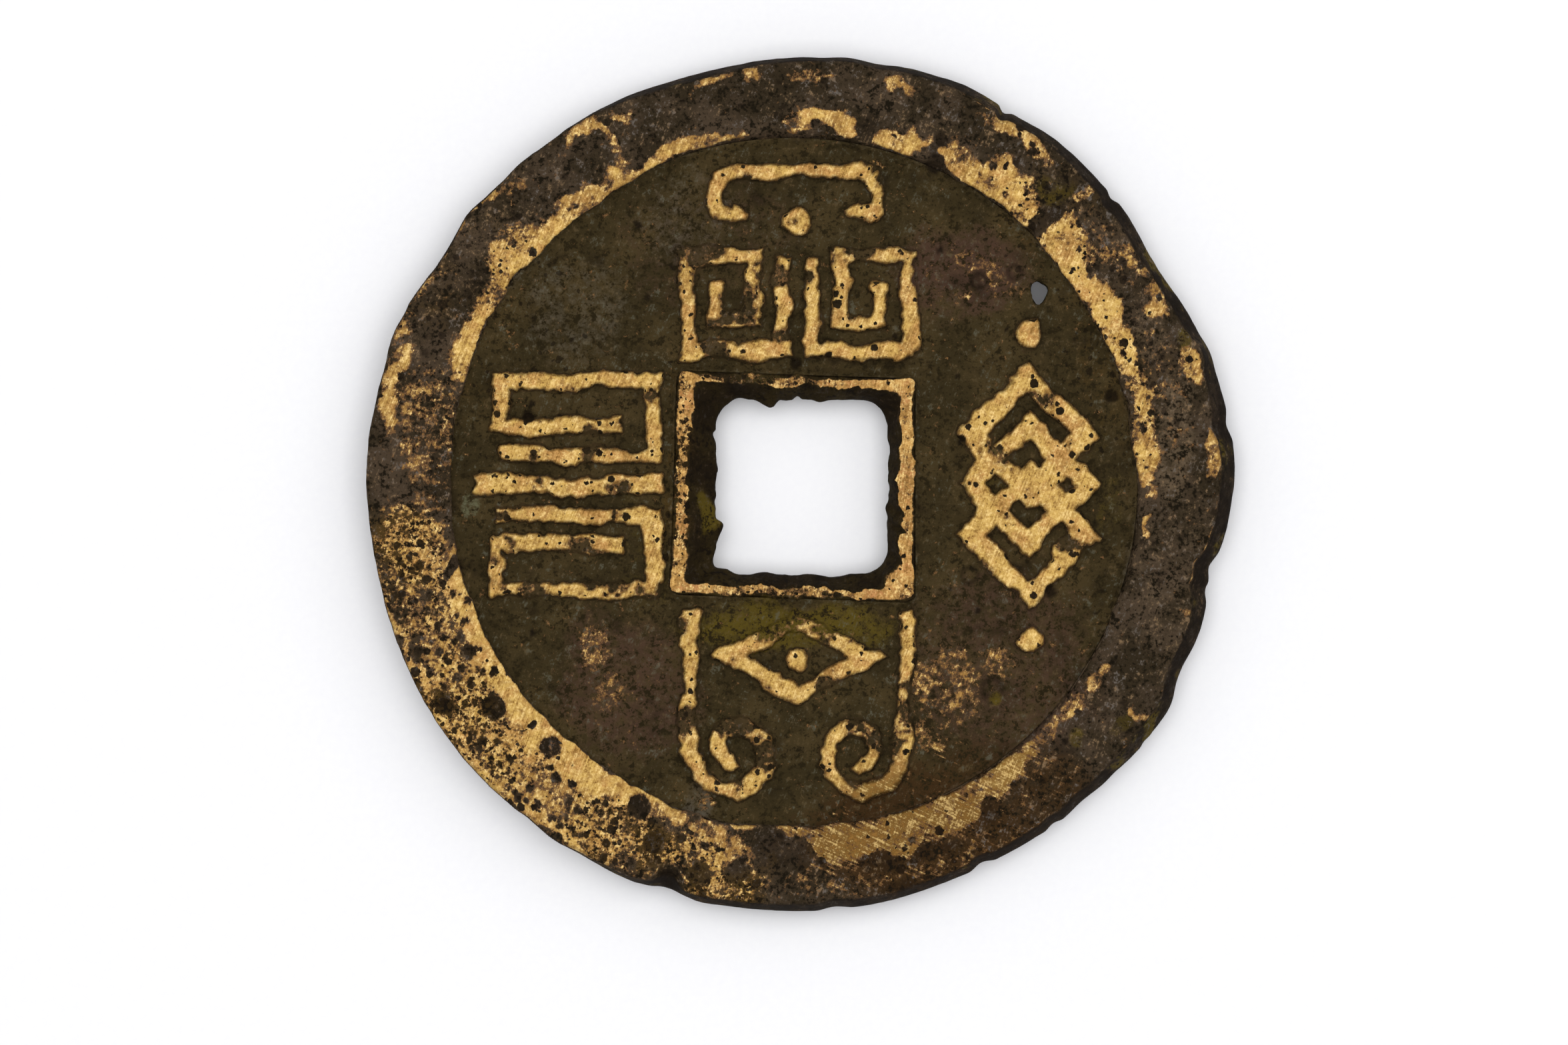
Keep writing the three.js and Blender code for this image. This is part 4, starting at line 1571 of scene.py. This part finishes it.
@dataclass
class Studio:
    """White paper, soft lamps and the camera that looks straight down."""

    view_middle: Pair = (-0.59, -1.67)
    view_width: float = 69.2
    lens: float = 180.0
    sensor: float = 36.0
    paper_half: float = 0.9
    paper_cells: int = 24
    paper_shades: tuple[Colour, Colour] = (colour(251, 251, 253), colour(254, 254, 255))
    world_strength: float = 0.37
    white_rays: tuple[str, ...] = ("Is Camera Ray", "Is Glossy Ray", "Is Transmission Ray")
    lamps: tuple[Lamp, ...] = (
        Lamp("top_lamp", (0.0, 0.02, 0.6), 0.6, 2.52),
        Lamp("right_lamp", (0.38, 0.18, 0.42), 0.4, 0.5),
        Lamp("left_lamp", (-0.4, 0.08, 0.42), 0.4, 0.3),
    )

    def paper(self) -> None:
        """Lays the paper that the coin lies on."""
        line = np.linspace(-self.paper_half, self.paper_half, self.paper_cells + 1)
        x, y = np.meshgrid(line, line)
        points = np.stack([x.ravel(), y.ravel(), np.zeros(x.size)], 1)
        faces = quads_over(np.ones((self.paper_cells, self.paper_cells), bool))
        mesh = bpy.data.meshes.new("paper")
        mesh.from_pydata(points.tolist(), [], faces.tolist())
        nodes = NodeTree(bpy.data.materials.new("white_paper"))
        fibres = nodes.noise(Pattern(0.35, 6.0))
        shade = nodes.eased(fibres, -0.3, 0.3)
        finish = nodes.finished(
            {
                "Base Color": nodes.mixed(shade, *self.paper_shades),
                "Roughness": 0.95,
                "Specular IOR Level": 0.1,
                "Normal": nodes.bumps(fibres, strength=0.25, depth=0.01),
            }
        )
        mesh.materials.append(finish)
        floor = bpy.data.objects.new("paper", mesh)
        bpy.context.scene.collection.objects.link(floor)

    def world(self) -> None:
        """Surrounds the scene with soft light that the camera and the metal see as white."""
        world = bpy.data.worlds.new("soft_white")
        nodes = NodeTree(world)
        kind = nodes.node("ShaderNodeLightPath")
        strength = self.world_strength
        for ray in self.white_rays:
            strength = nodes.math("MAXIMUM", kind.outputs[ray], strength)
        inputs = {"Color": colour(252, 252, 255), "Strength": strength}
        light = nodes.node("ShaderNodeBackground", inputs)
        nodes.node("ShaderNodeOutputWorld", {"Surface": light.outputs[0]})
        bpy.context.scene.world = world

    def camera(self, top: float) -> None:
        """Puts the camera straight over the middle of the photograph.

        Args:
            top: the height of the coin's upper face, in millimetres.
        """
        lens = bpy.data.cameras.new("camera")
        lens.lens = self.lens
        lens.sensor_width = self.sensor
        lens.clip_start = 0.01
        camera = bpy.data.objects.new("camera", lens)
        height = top + self.view_width * self.lens / self.sensor
        camera.location = Vector((*self.view_middle, height)) * MM
        bpy.context.scene.collection.objects.link(camera)
        bpy.context.scene.camera = camera

    def build(self, top: float) -> None:
        """Sets up paper, light and camera for a coin of this height, in millimetres."""
        self.paper()
        self.world()
        for lamp in self.lamps:
            lamp.hang()
        self.camera(top)
        bpy.context.scene.view_settings.view_transform = "Standard"


FRONT = Face(
    side=Side.FRONT,
    rim_bare=each(
        Spot,
        (7, 15.3, 10, 0.6, 0.84), (27, 15.5, 11, 0.75), (41, 16.0, 6, 1.2, 0.9),
        (57.5, 15.85, 12, 0.85, 0.82), (73, 15.85, 6, 0.62, 0.84), (85, 16.05, 6, 0.55, 0.9),
        (92, 15.45, 5, 0.2, 0.8), (103, 15.6, 5, 0.32, 0.86), (109, 15.6, 4, 0.5, 0.88),
        (119, 15.5, 8, 0.5, 0.82), (131, 15.5, 9, 0.6, 0.9), (141.5, 15.95, 6.5, 0.95, 0.9),
        (155, 15.65, 10, 0.62, 0.78), (172, 16.5, 9, 1.6, 0.35), (190, 17.0, 9, 1.8, 0.5),
        (222, 15.5, 30, 0.85, 1.3), (222, 17.2, 28, 1.6, 0.58), (222, 18.8, 26, 0.3, 0.8),
        (257, 17.0, 8, 1.6, 0.58), (266, 15.4, 7, 0.3, 0.8), (287, 15.9, 20, 1.05, 0.8),
        (285, 17.5, 20, 1.2, 0.24), (303, 15.7, 8, 0.7, 0.86), (311, 15.75, 4, 0.5, 0.66),
        (317, 15.55, 1.7, 0.45, 0.74), (321.5, 15.55, 2.4, 0.42, 0.66),
        (327, 15.5, 3, 0.32, 0.56), (312.5, 16.5, 3, 0.5, 0.36), (351.8, 15.6, 1.0, 0.3, 0.72),
        (353.4, 15.45, 0.9, 0.2, 0.66), (359.2, 15.6, 0.8, 0.3, 0.66),
        (12, 16.8, 12, 0.9, 0.18), (38, 17.2, 6, 0.8, 0.36), (3.5, 18.3, 3, 0.32, 0.72),
        (17.5, 18.2, 3, 0.42, 0.6), (27, 17.95, 3, 0.55, 0.6), (34, 18.05, 2.7, 0.45, 0.64),
        (46, 18.2, 1.3, 0.45, 0.62), (57, 18.1, 5.5, 0.55, 0.6), (76, 18.35, 2.2, 0.32, 0.52),
        (88, 18.4, 3, 0.26, 0.42), (96, 18.3, 1.5, 0.28, 0.5), (102.5, 18.3, 3, 0.26, 0.48),
        (115.5, 18.1, 1.6, 0.34, 0.5), (121.5, 18.05, 2.6, 0.5, 0.62),
        (118.9, 17.0, 1.2, 1.1, 0.46), (132.5, 18.3, 1.6, 0.3, 0.5),
        (138, 18.5, 4.5, 0.2, 0.54), (153, 18.6, 3, 0.18, 0.5), (165, 18.4, 8, 0.5, 0.64),
        (326, 18.0, 1.0, 0.45, 0.5), (333.5, 18.3, 2.2, 0.25, 0.55),
        (342, 18.2, 0.8, 0.25, 0.5),
    ),
    rim_stains=each(
        Spot,
        (47.8, 16.5, 1.1, 1.8), (66.6, 15.6, 1.2, 0.45), (79, 16.0, 1.4, 1.1),
        (148, 16.7, 2.5, 0.4), (194.3, 15.65, 1.3, 0.4, 0.9), (251.7, 18.6, 1.5, 0.6),
        (256.3, 17.9, 1.5, 0.5, 0.7), (261, 17.4, 1.4, 0.6, 0.5), (267.5, 16.3, 4.2, 0.7),
        (283.3, 16.85, 3.4, 0.55), (289.2, 17.3, 1.6, 0.45), (292.2, 17.5, 1.2, 0.3),
        (299.7, 17.15, 2.2, 0.45), (284.2, 18.26, 3.0, 0.4), (317, 16.6, 2, 0.5),
    ),
    frame_stains=each(
        Spot,
        (-2.4, 4.8, 1.9, 0.5, 0.7), (-0.2, 4.6, 1.0, 0.4, 0.35), (-0.4, -5.0, 2.6, 0.5, 0.4),
        (-5.4, 0.5, 0.5, 4.2, 0.16),
    ),
    smears=each(
        Spot,
        (6.6, -8.8, 1.5, 1.7, 0.4), (5.4, -11.2, 1.3, 0.8, 0.38), (8.8, -8.0, 1.0, 0.8, 0.36),
        (-8.8, -7.2, 0.7, 0.9, 0.4), (-8.2, -9.2, 0.9, 0.7, 0.36), (8.2, 9.2, 1.6, 1.2, 0.32),
        (3.4, 14.0, 0.5, 0.35, 0.6), (-4.0, -13.9, 0.4, 0.4, 0.3),
    ),
    patches={
        Tone.DUST: each(
            Spot,
            (-5.0, 12.0, 2.2, 2.0, 0.42), (-10.0, 8.0, 2.2, 2.6, 0.46),
            (-4.0, -13.9, 1.0, 0.8, 0.6), (8.5, 2.0, 1.2, 1.6, 0.2),
            (16.5, -4.5, 1.6, 4.0, 0.4), (16.8, 2.4, 1.1, 3.2, 0.66),
            (15.4, 6.8, 0.8, 1.5, 0.5), (-13.0, 11.0, 3.0, 2.6, 0.3),
        ),
        Tone.PLUM: each(
            Spot,
            (9.0, -8.0, 4.6, 4.6, 0.62), (-7.5, -9.0, 3.4, 3.6, 0.7), (7.5, 9.4, 3.2, 2.2, 0.8),
            (-3.0, 11.2, 3.4, 2.4, 0.4), (-6.0, 10.5, 2.0, 3.0, 0.4),
        ),
        Tone.MOSS: each(
            Spot,
            (-0.3, -6.1, 5.2, 1.0, 0.85), (-4.1, -1.2, 0.4, 1.1, 1.0),
            (-6.8, -3.0, 1.4, 3.4, 0.35), (11.3, 13.2, 0.8, 0.8, 0.6),
            (16.9, 6.4, 0.45, 0.45, 0.8), (8.75, -9.1, 0.5, 0.34, 0.9),
            (13.8, -0.8, 0.6, 1.6, 0.4), (12.6, 2.0, 1.0, 1.0, 0.3), (8.4, 0.8, 1.0, 1.8, 0.45),
            (12.4, -11.0, 0.5, 0.5, 0.7), (14.4, -10.6, 0.5, 0.5, 0.6),
        ),
        Tone.VERDIGRIS: each(
            Spot,
            (-14.4, -0.4, 0.5, 0.6, 0.6), (-11.5, 10.5, 0.35, 0.35, 0.6),
            (-8.3, -0.5, 0.8, 1.4, 0.15),
        ),
        Tone.PITTED: (
            *arc(188, 262, 17.7, 1.6, 0.9),
            *each(
                Spot,
                (-5.3, 0.3, 0.8, 4.6, 0.6), (14.5, 7.0, 3.0, 6.0, 0.4),
                (12.0, 12.0, 4.0, 3.0, 0.35), (-14.0, 7.0, 4.0, 6.0, 0.35),
                (5.0, -16.5, 7.0, 2.0, 0.3),
            ),
        ),
        Tone.FILED: each(Spot, (5.5, -15.6, 6.5, 3.0), (9.5, -13.4, 4.0, 2.6, 0.8)),
    },
    dents=each(
        Dent,
        (-13.4, -9.85, 0.68, 0.16), (-10.9, -11.6, 0.62, 0.16), (-15.6, -9.75, 0.62, 0.14),
        (-14.5, -7.4, 0.4, 0.12), (-7.0, -14.15, 0.7, 0.12), (-6.35, -15.8, 0.66, 0.14),
        (-5.7, -17.5, 0.8, 0.3), (6.4, 15.25, 0.42, 0.24), (6.1, 14.2, 0.55, 0.1),
        (13.85, 3.9, 0.42, 0.2), (-11.9, 3.05, 0.34, 0.16), (-0.15, 5.35, 0.34, 0.16),
        (1.4, 5.75, 0.2, 0.12), (16.9, 6.4, 0.42, -0.04), (11.3, 13.2, 0.75, -0.05),
        (8.6, -9.0, 0.7, -0.08), (14.4, -10.65, 0.55, 0.08), (11.2, -4.7, 0.35, 0.1),
        (7.6, -3.9, 0.6, -0.06), (8.0, 9.0, 0.55, -0.05), (9.6, 9.4, 0.5, -0.05),
    ),
    small_dents=(
        SmallDents(31, 60, 190, 255, inner=16.4),
        SmallDents(36, 14, 195, 213, outer=16.6),
        SmallDents(32, 45, 0, 60),
        SmallDents(33, 30, 60, 190),
        SmallDents(34, 30, 255, 360),
        SmallDents(35, 24, 0, 360, inner=7.0, outer=14.6, depth=0.05),
    ),
)

BACK = Face(
    side=Side.BACK,
    rim_bare=each(
        Spot,
        (20, 15.6, 22, 0.6), (60, 16.4, 12, 1.2, 0.9), (98, 15.6, 18, 0.5, 0.9),
        (140, 16.2, 20, 1.0), (150, 17.8, 14, 0.9, 0.6), (185, 15.6, 20, 0.5, 0.8),
        (225, 16.0, 14, 0.9, 0.85), (262, 15.5, 16, 0.4, 0.9), (300, 16.5, 20, 1.3, 0.95),
        (338, 15.6, 14, 0.6, 0.8), (33, 18.3, 6, 0.4, 0.7), (80, 18.4, 8, 0.4, 0.6),
        (205, 18.4, 10, 0.4, 0.7), (275, 18.4, 8, 0.4, 0.7), (318, 18.3, 7, 0.4, 0.6),
    ),
    rim_stains=each(
        Spot,
        (47, 16.2, 2.5, 0.8), (118, 16.0, 2.0, 0.9), (203, 15.9, 2.0, 0.7),
        (243, 16.5, 3.0, 1.0), (316, 16.2, 2.0, 0.8),
    ),
    frame_stains=each(Spot, (2.4, 4.8, 2.2, 0.5, 0.6), (-5.4, -2.0, 0.5, 2.2, 0.5)),
    smears=each(
        Spot,
        (-8.0, 8.0, 1.4, 1.2, 0.45), (9.0, -8.5, 1.6, 1.1, 0.45), (8.0, 9.5, 0.9, 0.7, 0.4),
    ),
    patches={
        Tone.DUST: each(Spot, (8.0, 8.5, 2.6, 2.4, 0.55), (-9.0, -7.5, 2.4, 2.8, 0.5)),
        Tone.PLUM: each(Spot, (-8.0, 8.0, 3.6, 3.4, 0.7), (9.0, -8.5, 3.8, 3.2, 0.7)),
        Tone.MOSS: each(Spot, (0.4, -6.1, 4.0, 0.8, 0.6), (-6.8, 2.0, 1.0, 3.0, 0.4)),
        Tone.VERDIGRIS: each(Spot, (10.6, 5.8, 0.5, 0.5, 0.7), (-5.2, -11.0, 0.4, 0.4, 0.6)),
        Tone.PITTED: each(Spot, (13.0, 10.0, 5.0, 5.0, 0.6), (-14.0, -8.0, 4.0, 6.0, 0.5)),
        Tone.FILED: each(Spot, (-9.0, 13.5, 4.0, 3.0, 0.8)),
    },
    dents=each(
        Dent,
        (13.6, 9.2, 0.5, 0.14), (-11.8, 12.0, 0.5, 0.14), (-15.9, -5.0, 0.45, 0.12),
        (2.5, -16.6, 0.5, 0.12), (8.4, -8.6, 0.6, -0.06), (-7.8, 7.4, 0.6, -0.06),
    ),
    small_dents=(
        SmallDents(41, 110, 0, 360),
        SmallDents(42, 24, 0, 360, inner=7.0, outer=14.6, depth=0.05),
    ),
)

# How much of each ornament's strokes is lost, beside the wear that all have.
FADED = {
    "front_top_fret_left": 0.16,
    "front_top_fret_right": 0.12,
    "front_left_fret_upper": 0.05,
    "front_right_lozenges": -0.06,
    "front_bottom_lozenge": 0.02,
    "back_left_scroll": 0.08,
    "back_right_scroll": 0.05,
}

RIM_BRASS = WornBrass("worn_rim_brass", dust_and_light=colour(108, 91, 70))
FRAME_BRASS = WornBrass(
    "hole_rim_brass",
    toned_deep=colour(26, 20, 11),
    toned=colour(40, 31, 17),
    toned_pale=colour(60, 49, 24),
    bare=colour(168, 131, 74),
    bare_warm=colour(148, 103, 62),
    fleck_share=0.3,
    scratch_turn=80.0,
)
FIELD_BRASS = WornBrass(
    "dark_field_brass",
    toned_deep=colour(38, 31, 16),
    toned=colour(53, 44, 25),
    toned_pale=colour(68, 56, 33),
    fleck=colour(92, 76, 50),
    fleck_grey=colour(96, 94, 78),
    fleck_share=0.6,
    patch_strength=1.2,
    speck_strength=2.0,
    pepper_strength=1.0,
    toned_roughness=0.78,
)
ORNAMENT_BRASS = WornBrass(
    "rubbed_ornament_brass",
    toned_deep=colour(38, 30, 16),
    toned=colour(54, 44, 26),
    toned_pale=colour(70, 56, 34),
    fleck_share=0.3,
    patch_strength=1.3,
    speck_strength=1.1,
)


def ornament_outlines() -> dict[str, Outline]:
    """The outline of each raised ornament's CAD node, in the record's order."""
    outlines = {}
    for part in frame["record"]["subparts"]:
        if part["node"].startswith("front_"):
            outlines[part["node"]] = Outline(part["node"], Side.FRONT)
        elif part["node"].startswith("back_"):
            outlines[part["node"]] = Outline(part["node"], Side.BACK)
    return outlines


def main() -> None:
    """Builds the studio and then every piece of the coin."""
    Studio().build(float(CAD_BOX[1][2]) / MM)
    brasses = (RIM_BRASS, FRAME_BRASS, FIELD_BRASS, ORNAMENT_BRASS)
    rim, frame_of_hole, plate, raised = (BrassPainter(brass).built() for brass in brasses)
    outlines = ornament_outlines()
    OuterRim(FRONT, BACK).build(rim)
    HoleRim(FRONT, BACK).build(frame_of_hole)
    FieldPlate(FRONT, BACK, list(outlines.values())).build(plate)
    for node, outline in outlines.items():
        face = FRONT if outline.side is Side.FRONT else BACK
        RaisedOrnament(node, outline, face, FADED.get(node, 0.0)).build(raised)

    bpy.context.view_layer.update()
    LOG.info("all pieces are made")


if __name__ == "__main__":
    logging.basicConfig(level=logging.INFO, format="%(name)s: %(message)s")
    main()
